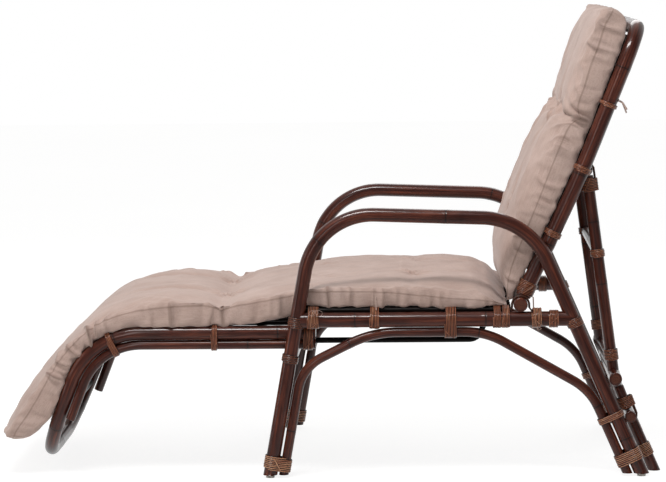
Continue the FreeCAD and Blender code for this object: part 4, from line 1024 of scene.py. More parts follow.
@dataclass
class Prop:
    """The prop frame that hangs on the backrest's hinge bar, and the two stays on the lower bar."""
    foot_bar: Pair = (0.6129, 0.208)
    half: float = 0.232
    radius: float = 0.0125
    rung_z: float = 0.472
    stay_half: float = 0.267
    stay_radius: float = 0.011
    loop_radius: float = 0.0025
    loop_tail: float = 0.042

    def build(self, shop: Workshop) -> None:
        """Builds the prop's poles, its loops and lashings, and the stays."""
        hinge, bar, lower = [np.array([x, 0, z]) for x, z in (HINGE_BAR, self.foot_bar, LOWER_BAR)]
        down = unit(bar - hinge)
        for number, (side, sign) in enumerate(SIDES):
            y = AXIS_Y * sign * self.half
            shop.poles(f"prop_pole_{side}", [straight(hinge + down * 0.01305 + y, bar - down * 0.009 + y,
                                                      self.radius, 200 + number, sides=26, ring_step=0.17)])
        shop.poles("prop_foot_bar", [cross_pole(*self.foot_bar, 0.299, 0.01375, 203, ring_step=0.25)])
        rung_x = line_x(self.foot_bar, HINGE_BAR, self.rung_z)
        shop.poles("prop_rung", [cross_pole(rung_x, self.rung_z, 0.2235, 0.010, 204)])
        shop.poles("prop_hinge_loops", [self.loop(hinge + AXIS_Y * s * self.half, down, 0.01225, 205 + s)
                                        for s in (-1, 1)], Finish.BENT_CANE)
        lashings = []
        for sign in (-1, 1):
            y = AXIS_Y * sign * self.half
            lashings.append(self.loop_lashing(hinge + y, down, self.radius, 0.01555, 0.018, 8, 210 + sign,
                                              sign))
            for z, turns in ((self.rung_z, 5), (0.252, 7)):
                at = np.array([line_x(self.foot_bar, HINGE_BAR, z), 0, z]) + y
                lashings.append(Lashing(at, down, AXIS_Y, [(0.0, 0.0, self.radius)], turns,
                                        215 + sign + turns, 180.0 if sign < 0 else 90.0))
        shop.lashings("prop_lashings", lashings)
        up = unit(bar - lower)
        for number, (side, sign) in enumerate(SIDES):
            at = lower + AXIS_Y * sign * self.stay_half
            shop.poles(f"stay_{side}", [straight(at + up * 0.0128, at + up * 0.068144, self.stay_radius,
                                                 220 + number, ring_step=0, end_round=0.004)])
            shop.poles(f"stay_loop_{side}", [self.loop(at, up, 0.012, 225 + number)], Finish.BENT_CANE)
            shop.lashings(f"stay_lashing_{side}", [self.loop_lashing(at, up, self.stay_radius, 0.0153, 0.017, 7,
                                                                     230 + number, sign)])

    def loop(self, centre: Array, towards: Array, bar_radius: float, seed: int) -> Pole:
        """Returns a cane bent round a bar, whose tails run along the pole that hangs on it."""
        reach = bar_radius + 0.0008 + self.loop_radius
        across = np.array([towards[2], 0, -towards[0]]) * reach
        corners = [centre + towards * way + across * side for way, side in
                   ((self.loop_tail, 1), (-reach, 1), (-reach, -1), (self.loop_tail, -1))]
        return Pole(corners, [reach * 0.999] * 2, self.loop_radius, seed, 12, 0, end_round=0.0006)

    def loop_lashing(self, centre: Array, towards: Array, radius: float, reach: float, start: float,
                     turns: int, seed: int, sign: int) -> Lashing:
        """Returns the peel wound round a pole and its loop's tails."""
        middle = centre + towards * (start + turns * 0.0018)
        across = (towards[2], 0, -towards[0])
        circles = [(reach, 0.0, self.loop_radius), (0.0, 0.0, radius), (-reach, 0.0, self.loop_radius)]
        return Lashing(middle, towards, across, circles, turns, seed, 90.0 * sign)


@dataclass
class Legrest:
    """The bent legrest with its second poles, bars and canes, which slides on two rods."""
    half: float = 0.266
    z: float = 0.309
    radius: float = 0.015
    knee: Pair = (-0.514, 0.309)
    foot: Pair = (-0.6237, 0.030)
    rear: float = -0.027
    drop: float = 0.0255
    under_radius: float = 0.01025
    under_knee: float = -0.49663
    under_low: Pair = (-0.56996, 0.097)
    under_slope: float = 0.3932
    cane_line: tuple[Pair, ...] = ((-0.038, 0.3215), (-0.523, 0.3215), (-0.60729, 0.110))
    cane_step: float = 0.054
    ring_place: Triple = (-0.038, 0.235, 0.287)

    def shin_x(self, z: float) -> float:
        """Returns X of the legrest's sloping side at a height."""
        return line_x(self.foot, self.knee, z)

    def build(self, shop: Workshop) -> None:
        """Builds the legrest's poles, canes and lashings."""
        way_down = ((self.rear, self.z), self.knee, self.foot)
        shop.poles("legrest_frame", [Pole(
            [(x, -self.half, z) for x, z in way_down] + [(x, self.half, z) for x, z in way_down[::-1]],
            [0.16, 0.18, 0.18, 0.16], self.radius, 301, 28, 0.3, 0.03)])
        low = self.z - self.drop
        for number, ((side, sign), end) in enumerate(zip(SIDES, (0.122, 0.097))):
            y = sign * self.half
            end_x = self.under_low[0] + (end - self.under_low[1]) * self.under_slope
            shop.poles(f"legrest_lower_pole_{side}", [Pole(
                [(self.rear, y, low), (self.under_knee, y, low), (end_x, y, end)],
                [0.1345], self.under_radius, 302 + number, 22, 0.26, 0.035)])
        bars = [cross_pole(x, self.z, 0.262, 0.010, 305 + n) for n, x in enumerate((-0.15, -0.29, -0.395))]
        bars += [cross_pole(self.shin_x(z), z, half, 0.010, 309 + n)
                 for n, (z, half) in enumerate(((0.2, 0.259), (0.122, 0.233)))]
        shop.poles("legrest_bars", bars, Finish.DARK_CANE_PAINTED_SHADE)
        shop.poles("slide_bar", [cross_pole(-0.038, self.z, 0.256, 0.010, 312)], Finish.DARK_CANE_PAINTED_SHADE)
        canes = [Pole([(x, y, z) for x, z in self.cane_line], [0.174], 0.004, 320 + n, 12)
                 for n, y in enumerate((np.arange(9) - 4) * self.cane_step)]
        shop.poles("legrest_canes", canes, Finish.DARK_CANE_PAINTED_SHADE)
        x, y, z = self.ring_place
        rings = [self.ring_shell((x, sign * y, z), 0.0095, 0.0025) for sign in (-1, 1)]
        shop.stand_for("slide_rings", join(rings), Finish.BENT_CANE)
        pair, wide = [[(0.0, 0.0, self.radius + more), (0.0, -self.drop, self.under_radius + more)]
                      for more in (0.0, 0.0004)]
        lashings = []
        for sign in (-1, 1):
            for x, z, axis, circles, turns, seed in (
                    (-0.043, self.z, AXIS_X, pair, 6, 340), (-0.245, self.z, AXIS_X, pair, 4, 343),
                    (-0.4701, 0.2952, (0.9135, 0, 0.407), wide, 4, 346)):
                lashings.append(Lashing((x, sign * self.half, z), axis, AXIS_Y, circles, turns, seed + sign,
                                        180.0 if sign < 0 else 0.0))
        shop.lashings("legrest_lashings", lashings)

    @staticmethod
    def ring_shell(centre: tuple, reach: float, radius: float) -> Shell:
        """Returns a closed ring of cane whose axis runs along X."""
        count, sides = 40, 12
        angle = np.arange(count + 1) * 2 * math.pi / count
        out = np.stack([np.zeros(count + 1), np.cos(angle), np.sin(angle)], axis=1)
        across, size = np.tile(-AXIS_X, (count + 1, 1)), np.full(count + 1, radius)
        points, quads, _ = sweep(np.asarray(centre) + out * reach, across, out, size, size, sides)
        points = points[:count].reshape(-1, 3)
        none = np.zeros(len(points))
        grain = np.stack([np.repeat(angle[:count] * reach, sides), points[:, 0] - centre[0], none], axis=1)
        return Shell(points, quads % (count * sides), [], {"grain": grain, "ring": none, "cut": none})


# Stuffed pads

def table(rows: list[tuple], share: Array, column: int) -> Array:
    """Reads a column of a table at shares, half straight and half eased between its rows."""
    data = np.array(rows, float)
    at = np.clip(np.searchsorted(data[:, 0], share, side="right") - 1, 0, len(data) - 2)
    low, high = data[at], data[at + 1]
    part = np.clip((share - low[:, 0]) / (high[:, 0] - low[:, 0]), 0, 1)
    eased = part * part * (3 - 2 * part)
    return low[:, column] + (high[:, column] - low[:, column]) * (0.5 * part + 0.5 * eased)


@dataclass
class Spine:
    """Stations along a pad: where its underside lies, which way is out, and how thick and wide it is."""
    place: Array
    out: Array
    thick: Array
    width: Array
    along: Array

    @staticmethod
    def of(line: Array, start: float, stop: float, thickness: float, width: float,
           rows: list[tuple]) -> Spine:
        """Reads a pad's rows along a line.

        Each row holds a share of the way, the lift in mm, the thickness and width as shares, and the
        lean of the section in degrees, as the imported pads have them.

        Args:
            line: the underside's line.
            start: distance along it where the pad starts.
            stop: distance where it stops.
            thickness: the pad's full thickness.
            width: the pad's full width.
            rows: the table.

        Returns:
            Stations 2 mm apart.
        """
        count = int((stop - start) / 0.002)
        share = np.linspace(0, 1, count)
        here = start + (stop - start) * share
        point = at_lengths(line, here)
        ahead = unit(at_lengths(line, here + 0.002) - at_lengths(line, here - 0.002))
        out = np.stack([-ahead[:, 2], np.zeros(count), ahead[:, 0]], axis=1)
        point = point + out * table(rows, share, 1)[:, None] * 1e-3
        lean = np.radians(table(rows, share, 4))
        c, s = np.cos(lean), np.sin(lean)
        leaned = np.stack([out[:, 0] * c + out[:, 2] * s, np.zeros(count), -out[:, 0] * s + out[:, 2] * c],
                          axis=1)
        return Spine(point, leaned, table(rows, share, 2) * thickness, table(rows, share, 3) * width, here)

    @staticmethod
    def chained(spines: list[Spine], step: float) -> Spine:
        """Joins spines end to end, smooths their joins and spaces the stations evenly."""
        place, out, thick, width = [np.concatenate([getattr(s, key) for s in spines])
                                    for key in ("place", "out", "thick", "width")]
        middle = place + out * (thick / 2)[:, None]
        along = lengths_of(middle)
        keep = np.concatenate([[True], np.diff(along) > 1e-6])
        wanted = np.linspace(0, along[-1], int(along[-1] / step) + 1)

        def read(values: Array) -> Array:
            """Reads values at the wanted stations after a short moving mean."""
            pad = np.concatenate([np.repeat(values[:1], 4), values, np.repeat(values[-1:], 4)])
            soft = np.convolve(pad, np.ones(9) / 9, mode="valid")
            return np.interp(wanted, along[keep], soft[keep])

        new_place = np.stack([read(place[:, k]) for k in range(3)], axis=1)
        new_out = unit(np.stack([read(out[:, k]) for k in range(3)], axis=1))
        return Spine(new_place, new_out, read(thick), read(width), wanted)


@dataclass
class Pillow:
    """A stuffed pad of two canvas panels sewn together along their edge, with tufts that draw them in."""
    name: str
    spine: Spine
    seam_share: Array
    tufts: list[Triple]
    creases: list[tuple[float, float, float, float]]
    channels: list[Triple]
    drape: Array
    step: float = 0.0066
    end_round: float = 0.012
    swell_cap: float = 0.010
    pressure: float = 6.0
    slack: float = 0.10
    resting: float = 0.955
    tuft_radius: float = 0.007

    @staticmethod
    def profile(across: Array) -> Array:
        """Returns the height share over the width: (1 - |a| to the power 7) to the power 1 / 2.3."""
        return np.clip(1 - np.abs(across) ** 7.0, 0, 1) ** (1 / 2.3)

    def hang(self, along: Array, y: Array) -> Array:
        """Returns how far the underside hangs beyond the outermost poles, eased from one width to another."""
        first, last, depth = columns_at(along, self.spine.along, self.drape).T[..., None]
        part = np.clip((np.abs(y) - first) / (last - first), 0, 1)
        return depth * part * part * (3 - 2 * part)

    def across_places(self, count: int) -> Array:
        """Returns places from -1 to 1 over the width whose steps are even along the crowned surface."""
        fine = np.linspace(-1, 1, 4001)
        half = float(self.spine.width.mean()) / 2
        high = float(self.spine.thick.mean()) * 0.5
        path = lengths_of(np.stack([fine * half, self.profile(fine) * high], axis=1))
        return np.interp(np.linspace(0, path[-1], count), path, fine)

    def build(self) -> tuple[Shell, Array]:
        """Builds the two panels as grids that share their edge.

        The top panel is place + Y a w / 2 + out t (s + (1 - s) f(a)), the underside place + Y a w / 2 +
        out t s (1 - g(a)), where a runs over the width w, s is the seam's share of the thickness t,
        and f and g are the profiles. Tufts, creases and channels lower the top by rounded dips.

        Returns:
            The shell, and which points are held fast.
        """
        spine = self.spine
        total = spine.along[-1]
        along = np.linspace(0, total, int(total / self.step) + 1)
        thick, width, seam = [np.interp(along, spine.along, v)
                              for v in (spine.thick, spine.width, self.seam_share)]
        place = columns_at(along, spine.along, spine.place)
        out = unit(columns_at(along, spine.along, spine.out))
        ends = np.clip(np.minimum(along, total - along) / self.end_round, 0, 1)
        full = np.sqrt(np.clip(1 - (1 - ends) ** 2, 0, 1))
        across = self.across_places(int(float(width.mean() + thick.mean() * 0.9) / self.step) + 1)
        a = across[None, :]
        narrow = (width * (1 - 0.05 * (1 - full)))[:, None]
        y = a * narrow / 2
        rise = (thick * (1 - seam) * full)[:, None] * self.profile(a)
        fall = (thick * seam * full)[:, None] * np.clip(1 - np.abs(a) ** 30, 0, 1) ** (1 / 3.5)
        crown = (thick * 0.04 * full)[:, None] * (1 - a ** 2)
        dip = self.dips(along[:, None], y) * full[:, None]
        level = (thick * seam)[:, None]
        base = place[:, None] + y[..., None] * AXIS_Y
        top = base + out[:, None] * (level + rise + crown - dip)[..., None]
        sag = self.hang(along, y) * np.clip((1 - np.abs(a)) / 0.008, 0, 1) * full[:, None]
        bottom = base + out[:, None] * (level - fall - sag)[..., None]
        number = np.arange(y.size).reshape(y.shape)
        inner = np.zeros(y.shape, bool)
        inner[1:-1, 1:-1] = True
        under = number.copy()
        under[inner] = y.size + np.arange(int(inner.sum()))
        upper = [number[:-1, :-1], number[1:, :-1], number[1:, 1:], number[:-1, 1:]]
        lower = [under[:-1, :-1], under[:-1, 1:], under[1:, 1:], under[1:, :-1]]
        quads = np.concatenate([np.stack(panel, -1).reshape(-1, 4) for panel in (upper, lower)])[:, ::-1]
        edge = self.edge_distance(along, across, narrow[:, 0], thick)
        laid = np.stack([np.broadcast_to(along[:, None], y.shape), y, edge], axis=-1)
        below = np.concatenate([np.where(inner, 0.0, 0.5).ravel(), np.ones(int(inner.sum()))])
        held_top = ~inner | self.tuft_mask(along[:, None], y)
        held_low = np.broadcast_to(np.abs(a) < self.resting, inner.shape)[inner]
        values = {"cloth": np.concatenate([laid.reshape(-1, 3), laid[inner]]), "under": below}
        shell = Shell(np.concatenate([top.reshape(-1, 3), bottom[inner]]), quads, [], values)
        return shell, np.concatenate([held_top.ravel(), held_low])

    def dips(self, along: Array, y: Array) -> Array:
        """Returns how far the top is drawn in by tufts, lengthwise creases and cross channels."""
        found = np.zeros(np.broadcast_shapes(along.shape, y.shape))
        for s, side, depth in self.tufts:
            gap = np.hypot(along - s, (y - side) * 0.9)
            cup = 0.55 * np.exp(-(gap / 0.034) ** 2) + 0.45 * np.exp(-(gap / 0.011) ** 2)
            found = np.maximum(found, depth * cup)
        for side, start, stop, depth in self.creases:
            reach = 1 / (1 + np.exp(-(along - start) / 0.02)) / (1 + np.exp((along - stop) / 0.02))
            found = np.maximum(found, depth * reach * np.exp(-((y - side) / 0.017) ** 2))
        for s, depth, wide in self.channels:
            found = np.maximum(found, depth * np.exp(-((along - s) / wide) ** 2))
        return found

    def tuft_mask(self, along: Array, y: Array) -> Array:
        """Returns which points the tufts hold down."""
        held = np.zeros(np.broadcast_shapes(along.shape, y.shape), bool)
        for s, side, _ in self.tufts:
            held |= np.hypot(along - s, y - side) < self.tuft_radius
        return held

    def edge_distance(self, along: Array, across: Array, width: Array,
                      thick: Array) -> Array:
        """Returns about how far each point lies from the sewn edge, over the surface."""
        half = width[:, None] / 2
        side = half * (1 - np.abs(across)) + thick[:, None] * 0.5 * self.profile(across)
        return np.minimum(side, np.minimum(along, along[-1] - along)[:, None] * 1.3)


@dataclass
class Puckers:
    """The small folds that sewing draws into a pad: across its edge, round its tufts, and uneven stuffing."""
    tufts: list[Triple]
    deep: list[tuple[float, int, float, float, float, float, float]]
    seed: int
    spacing: float = 0.034
    depth: float = 0.0026
    lump: float = 0.0011

    def apply(self, piece: Object) -> None:
        """Moves a pad's points inwards by the folds' depths, and stores the edge folds' depth for the cloth's
        painted shade.

        Args:
            piece: the pad, with its finer mesh.
        """
        mesh = piece.data
        along, y, edge = point_values(mesh, "cloth").T.astype(float)
        under = point_values(mesh, "under")
        folds = self.edge_folds(along, y, edge, under)
        lower = folds + self.tuft_folds(along, y, under)
        lower += self.lumps(along, y) * (under < 0.6)
        points = coordinates(piece) - surface_ways(mesh) * lower[:, None]
        mesh.vertices.foreach_set("co", points.ravel())
        # the edge folds' depth, kept as the fold value from which the cloth paints shade in its creases
        shade = np.clip((folds - 0.0012) / 0.0045, 0, 1).astype(np.float32)
        mesh.attributes.new("fold", "FLOAT", "POINT").data.foreach_set("value", shade)
        mesh.update()

    def edge_folds(self, along: Array, y: Array, edge: Array, under: Array) -> Array:
        """Returns the depth of the folds that cross the sewn edge.

        At place s along the edge and distance e from it, with g = (s - s0 - m e) / w (1 + e / 50 mm), a
        fold is d exp(-(e / r)^2) times a groove 0.65 exp(-g^2) + 0.45 exp(-(g / 0.55)^2), less the
        swellings beside it, 0.5 exp(-(g - 2.1)^2) + 0.2 exp(-(g + 2.6)^2). The reach r differs above
        and below the seam. Folds across the two ends are plain exp(-g^2) ones.
        """
        chance = np.random.default_rng(self.seed)
        longest = float(along.max())
        found = np.zeros(len(along))
        for side in (-1, 1):
            own = np.nonzero((y * side > 0.2) & (edge < 0.09))[0]
            count = int(longest / self.spacing)
            places = np.cumsum(chance.uniform(0.35, 1.65, count)) * self.spacing
            rows = np.stack([
                places, chance.uniform(0.007, 0.026, count), chance.uniform(0.010, 0.034, count),
                chance.uniform(0.15, 1.3, count) ** 1.5 * self.depth, chance.uniform(0.0028, 0.0055, count),
                chance.uniform(-0.55, 0.55, count)], axis=1)
            rows = np.concatenate([rows, [(s, *rest) for s, own_side, *rest in self.deep if own_side == side]])
            s, e, low = along[own, None], edge[own, None], under[own, None] > 0.75
            reach = np.where(low, rows[:, 2], rows[:, 1])
            gap = (s - rows[:, 0] - rows[:, 5] * e) / (rows[:, 4] * (1 + e / 0.05))
            core = 0.65 * np.exp(-gap ** 2) + 0.45 * np.exp(-(gap / 0.55) ** 2)
            bulge = 0.50 * np.exp(-(gap - 2.1) ** 2) + 0.20 * np.exp(-(gap + 2.6) ** 2)
            found[own] += (rows[:, 3] * (core - bulge) * np.exp(-(e / reach) ** 2)).sum(axis=1)
        ends = np.nonzero((edge < 0.05) & (np.abs(y) < 0.25) & (np.minimum(along, longest - along) < 0.06))[0]
        places = np.arange(-0.24, 0.25, 0.04) + chance.uniform(-0.014, 0.014, 13)
        size = chance.uniform(0.3, 1.2, 13) * self.depth
        gap = (y[ends, None] - places) / 0.0045
        found[ends] += (size * np.exp(-gap ** 2) * np.exp(-(edge[ends, None] / 0.018) ** 2)).sum(axis=1)
        return found

    def tuft_folds(self, along: Array, y: Array, under: Array) -> Array:
        """Returns the depth of the folds that run out from each tuft like a star."""
        chance = np.random.default_rng(self.seed + 50)
        found = np.zeros(len(along))
        for s, side, depth in self.tufts:
            rays, turn, bend = chance.integers(6, 9), chance.uniform(0, 6.28), chance.uniform(-0.6, 0.6)
            gap = np.hypot(along - s, y - side)
            way = np.arctan2(y - side, along - s)
            wave = 0.5 + 0.5 * np.cos(way * rays + turn + 0.9 * np.sin(way * 2 + bend * 5))
            found += depth * 0.2 * wave ** 3 * np.exp(-((gap - 0.022) / 0.026) ** 2) * (under < 0.6)
        return found

    def lumps(self, along: Array, y: Array) -> Array:
        """Returns the uneven stuffing: slow waves in several directions."""
        chance = np.random.default_rng(self.seed + 90)
        found = np.zeros(len(along))
        for wave in (0.19, 0.13, 0.09, 0.06, 0.042):
            way, phase = chance.uniform(0, 6.28), chance.uniform(0, 6.28)
            reach = 2 * math.pi / wave
            found += wave / 0.19 * np.sin((along * math.cos(way) + y * math.sin(way)) * reach + phase
                                          + 1.3 * np.sin(y * reach * 0.37 + along * reach * 0.21))
        return found * self.lump


@dataclass
class ClothBench:
    """Blows stuffed pads up by cloth simulation and keeps the result."""
    frames: int = 22
    items: list[tuple[Object, float, Array]] = field(default_factory=list)

    def add(self, piece: Object, pillow: Pillow, held: Array) -> None:
        """Gives a piece its cloth: slack panels, held edge and tufts, and air inside.

        Args:
            piece: the pad's object.
            pillow: its sizes.
            held: which points stay where they are.
        """
        pins = piece.vertex_groups.new(name="held")
        pins.add([int(k) for k in np.nonzero(held)[0]], 1.0, "REPLACE")
        cloth = piece.modifiers.new("cloth", "CLOTH")
        settings = cloth.settings
        for key, value in {
                "quality": 5, "mass": 0.25, "air_damping": 2.0, "tension_stiffness": 18,
                "compression_stiffness": 18, "shear_stiffness": 6, "bending_stiffness": 0.15,
                "tension_damping": 8, "compression_damping": 8, "shear_damping": 8, "bending_damping": 0.6,
                "vertex_group_mass": "held", "pin_stiffness": 1.0, "use_pressure": True,
                "uniform_pressure_force": pillow.pressure, "shrink_min": -pillow.slack}.items():
            setattr(settings, key, value)
        settings.effector_weights.gravity = 0
        cloth.collision_settings.use_collision = False
        cloth.collision_settings.use_self_collision = False
        cloth.point_cache.frame_start = 1
        cloth.point_cache.frame_end = self.frames
        self.items.append((piece, pillow.swell_cap, coordinates(piece)))

    def run(self) -> None:
        """Steps the simulation, then limits how far any point moved and stores the shape."""
        scene = bpy.context.scene
        for frame in range(1, self.frames + 1):
            scene.frame_set(frame)
        graph = bpy.context.evaluated_depsgraph_get()
        for piece, cap, rest in self.items:
            result = piece.evaluated_get(graph).to_mesh()
            moved = np.zeros(len(result.vertices) * 3)
            result.vertices.foreach_get("co", moved)
            piece.evaluated_get(graph).to_mesh_clear()
            move = moved.reshape(-1, 3) - rest
            size = np.linalg.norm(move, axis=1, keepdims=True)
            limited = move * np.tanh(size / cap) * cap / np.maximum(size, 1e-9)
            piece.modifiers.clear()
            piece.data.vertices.foreach_set("co", (rest + limited).ravel())
            piece.data.update()
            LOG.info("%s: cloth moved %.1f mm at most", piece.name, float(size.max()) * 1e3)
        scene.frame_set(1)


@dataclass
class Pads:
    """The long pad over seat, legrest and shin, in three joined parts, and the back's pad."""
    width: float = 0.554
    deck_top: float = 0.3646
    leg_top: float = 0.3276
    split: float = -0.074
    knee: float = 0.2864
    shin_thick: float = 0.093
    leg_thick: float = 0.073
    seat_thick: float = 0.067
    seat_end: float = 0.387
    back_thick: float = 0.100
    back_width: float = 0.534
    neck: float = 0.637
    waist: float = 0.30
    station_step: float = 0.004

    def lower_spine(self) -> tuple[Spine, float, float]:
        """Returns the long pad's stations from the foot to the seat's rear, and its two splits."""
        upright = 30.265
        shin_rows = [(0, 43, 0.34, 0.93, -22), (0.035, 35, 0.6, 0.96, -19), (0.11, 20, 0.84, 0.99, -12),
                     (0.27, 3, 0.92, 1, -3), (0.41, 0, 0.82, 1, 0), (0.58, 0, 0.68, 1, 0),
                     (0.66, 0, 0.6, 0.99, 0), (0.8, 0, 0.5, 0.985, 0.2 * upright),
                     (0.9, 0, 0.54, 1, 0.55 * upright), (1, 0, 0.683, 1, upright)]
        leg_rows = [(0, 0, 0.87, 1, upright), (0.1, 0, 0.84, 1, 0.4 * upright),
                    (0.2, 0, 0.92, 1, 0.07 * upright), (0.27, 0, 0.96, 1, 0), (0.36, 0, 1, 1, 0),
                    (0.47, 0, 0.96, 1, 0), (0.57, 0, 0.86, 0.99, 0), (0.635, 0, 0.74, 0.97, 0),
                    (0.71, 2, 0.84, 0.99, 0), (0.79, 6, 0.93, 1, 0), (0.9, 14, 0.93, 1, 0),
                    (1, 23, 0.87, 0.98, 0)]
        seat_rows = [(0, -8, 0.87, 0.98, 0), (0.02, -5, 0.84, 0.985, 0), (0.044, 0, 0.8, 0.985, 0),
                     (0.2, 0, 0.88, 1, 0), (0.39, 0, 0.96, 1, 0), (0.52, 0, 0.985, 0.995, 0),
                     (0.56, 0, 0.93, 0.98, 0), (0.6, 0, 0.985, 0.995, 0), (0.69, 0, 1, 1, 0),
                     (0.83, 0, 0.93, 1, 0), (0.92, 0, 0.7, 0.99, 0), (0.96, 0, 0.42, 0.975, 0),
                     (1, 0, 0.12, 0.95, 0)]
        bent = rounded_line([(-0.632350, 0, 0.058834), (-0.526673, 0, self.leg_top),
                             (self.split, 0, self.leg_top)], [0.1786])
        bent_length = lengths_of(bent)[-1]
        shin = Spine.of(bent, 0, self.knee, self.shin_thick, self.width, shin_rows)
        leg = Spine.of(bent, self.knee, bent_length, self.leg_thick, self.width, leg_rows)
        flat = rounded_line([(self.split, 0, self.deck_top), (self.seat_end, 0, self.deck_top)])
        seat = Spine.of(flat, 0, lengths_of(flat)[-1], self.seat_thick, self.width, seat_rows)
        spine = Spine.chained([shin, leg, seat], self.station_step)
        middle = spine.place + spine.out * (spine.thick / 2)[:, None]
        split_at = float(np.interp(self.split, middle[:, 0], spine.along))
        knee = shin.place[-1] + shin.out[-1] * shin.thick[-1] / 2
        knee_at = float(spine.along[np.linalg.norm(middle - knee, axis=1).argmin()])
        return spine, knee_at, split_at

    def build_lower(self, shop: Workshop,
                    bench: ClothBench) -> tuple[Object, Puckers, Pair]:
        """Builds the long pad's cloth in one piece, before it is parted.

        Args:
            shop: the workshop.
            bench: the bench that blows it up.

        Returns:
            The pad, its folds, and the distances along it of the knee's cut and of the seat's.
        """
        spine, knee_at, split_at = self.lower_spine()
        middle_x = (spine.place + spine.out * (spine.thick / 2)[:, None])[:, 0]

        def where(x: float) -> float:
            """Returns the distance along the pad at an X."""
            return float(np.interp(x, middle_x, spine.along))

        seam = np.interp(middle_x,
                         [-0.62, -0.45, -0.425, -0.328, -0.242, -0.167, -0.081, 0.0, 0.1, 0.18, 0.26, 0.36],
                         [0.5, 0.49, 0.51, 0.62, 0.78, 0.68, 0.66, 0.69, 0.6, 0.46, 0.3, 0.26])
        spine.width = spine.width * np.interp(middle_x, [-0.7, -0.11, -0.085, -0.045, -0.01, 0.30, 0.39],
                                              [1.025, 1.025, 1.0, 1.0, 1.07, 1.07, 1.06])
        on_seat = (middle_x > -0.07)[:, None]
        drape = np.where(on_seat, [[0.2855, 0.2925, 0.0078]], [[0.224, 0.242, 0.0072]])
        tufts = [(where(x), side, depth) for x, depth in
                 ((0.183, 0.020), (-0.228, 0.026), (-0.02, 0.008), (-0.565, 0.012)) for side in TUFT_SIDES]
        creases = [(side, where(start), where(stop), depth) for start, stop, depth in
                   ((-0.44, -0.228, 0.009), (-0.02, 0.183, 0.002), (0.183, 0.33, 0.0045))
                   for side in TUFT_SIDES]
        pillow = Pillow("long_pad", spine, seam, tufts, creases, [(where(-0.228), 0.006, 0.022)], drape)
        folds = [(-0.515, 0, 0.03, 0.045, 0.0095, 0.0055, -0.3), (-0.515, 0.018, 0.02, 0.03, 0.004, 0.004, 0.5),
                 (-0.228, 0, 0.02, 0.04, 0.007, 0.006, 0.2), (-0.228, -0.02, 0.012, 0.03, 0.004, 0.004, -0.5),
                 (-0.34, 0, 0.008, 0.035, 0.005, 0.0045, 0.1), (-0.56, 0, 0.03, 0.035, 0.005, 0.005, 0.4),
                 (-0.6, 0, 0.016, 0.03, 0.004, 0.0045, -0.4), (0.0, 0, 0.012, 0.04, 0.0065, 0.005, 0.1),
                 (-0.48, 0, 0.02, 0.03, 0.004, 0.005, 0.5), (0.12, 0, 0.01, 0.035, 0.004, 0.0045, -0.2),
                 (0.24, 0, 0.01, 0.03, 0.0036, 0.0045, 0.3), (-0.585, 0, 0.03, 0.02, 0.004, 0.0045, 0.6)]
        deep = [(where(x) + shift, -1, *rest) for x, shift, *rest in folds]
        deep += [(d[0] + 0.012, 1) + d[2:] for d in deep[::2]]
        return self.start(pillow, shop, bench), Puckers(tufts, deep, 11), (knee_at, split_at)

    def build_back(self, shop: Workshop, bench: ClothBench) -> tuple[Object, Puckers]:
        """Builds the back pad's cloth, with the bolster at its head above a sewn channel.

        Args:
            shop: the workshop.
            bench: the bench that blows it up.

        Returns:
            The pad and its folds.
        """
        rows = [(0, 2, 0.02, 0.95, 0), (0.01, 0, 0.17, 0.955, 0), (0.026, 0, 0.34, 0.965, 0),
                (0.052, 0, 0.54, 0.975, 0), (0.085, 0, 0.68, 0.985, 0), (0.13, 0, 0.78, 0.99, 0),
                (0.18, 0, 0.84, 1, 0), (0.31, 0, 0.95, 1, 0), (0.43, 0, 1, 1, 0), (0.52, 0, 0.97, 1, 0),
                (0.58, 0, 0.9, 0.99, 0), (0.612, 0, 0.81, 0.975, 0), (0.635, 0, 0.74, 0.965, 0),
                (0.66, 0, 0.8, 0.975, 0), (0.7, 0, 0.84, 0.99, 0), (0.8, 0, 0.9, 1, 0), (0.88, 0, 0.91, 1, 0),
                (0.935, 2, 0.86, 0.985, 0), (0.965, 8, 0.74, 0.965, 0), (0.988, 18, 0.54, 0.945, 0),
                (1, 28, 0.32, 0.93, 0)]
        line = rounded_line([(0.388102, 0, 0.37034), (0.520626, 0, 0.648255), (0.653206, 0, 0.980532)], [2.5])
        plain = Spine.of(line, 0, lengths_of(line)[-1], self.back_thick, self.back_width, rows)
        spine = Spine.chained([plain], self.station_step)
        total = spine.along[-1]
        share = spine.along / total
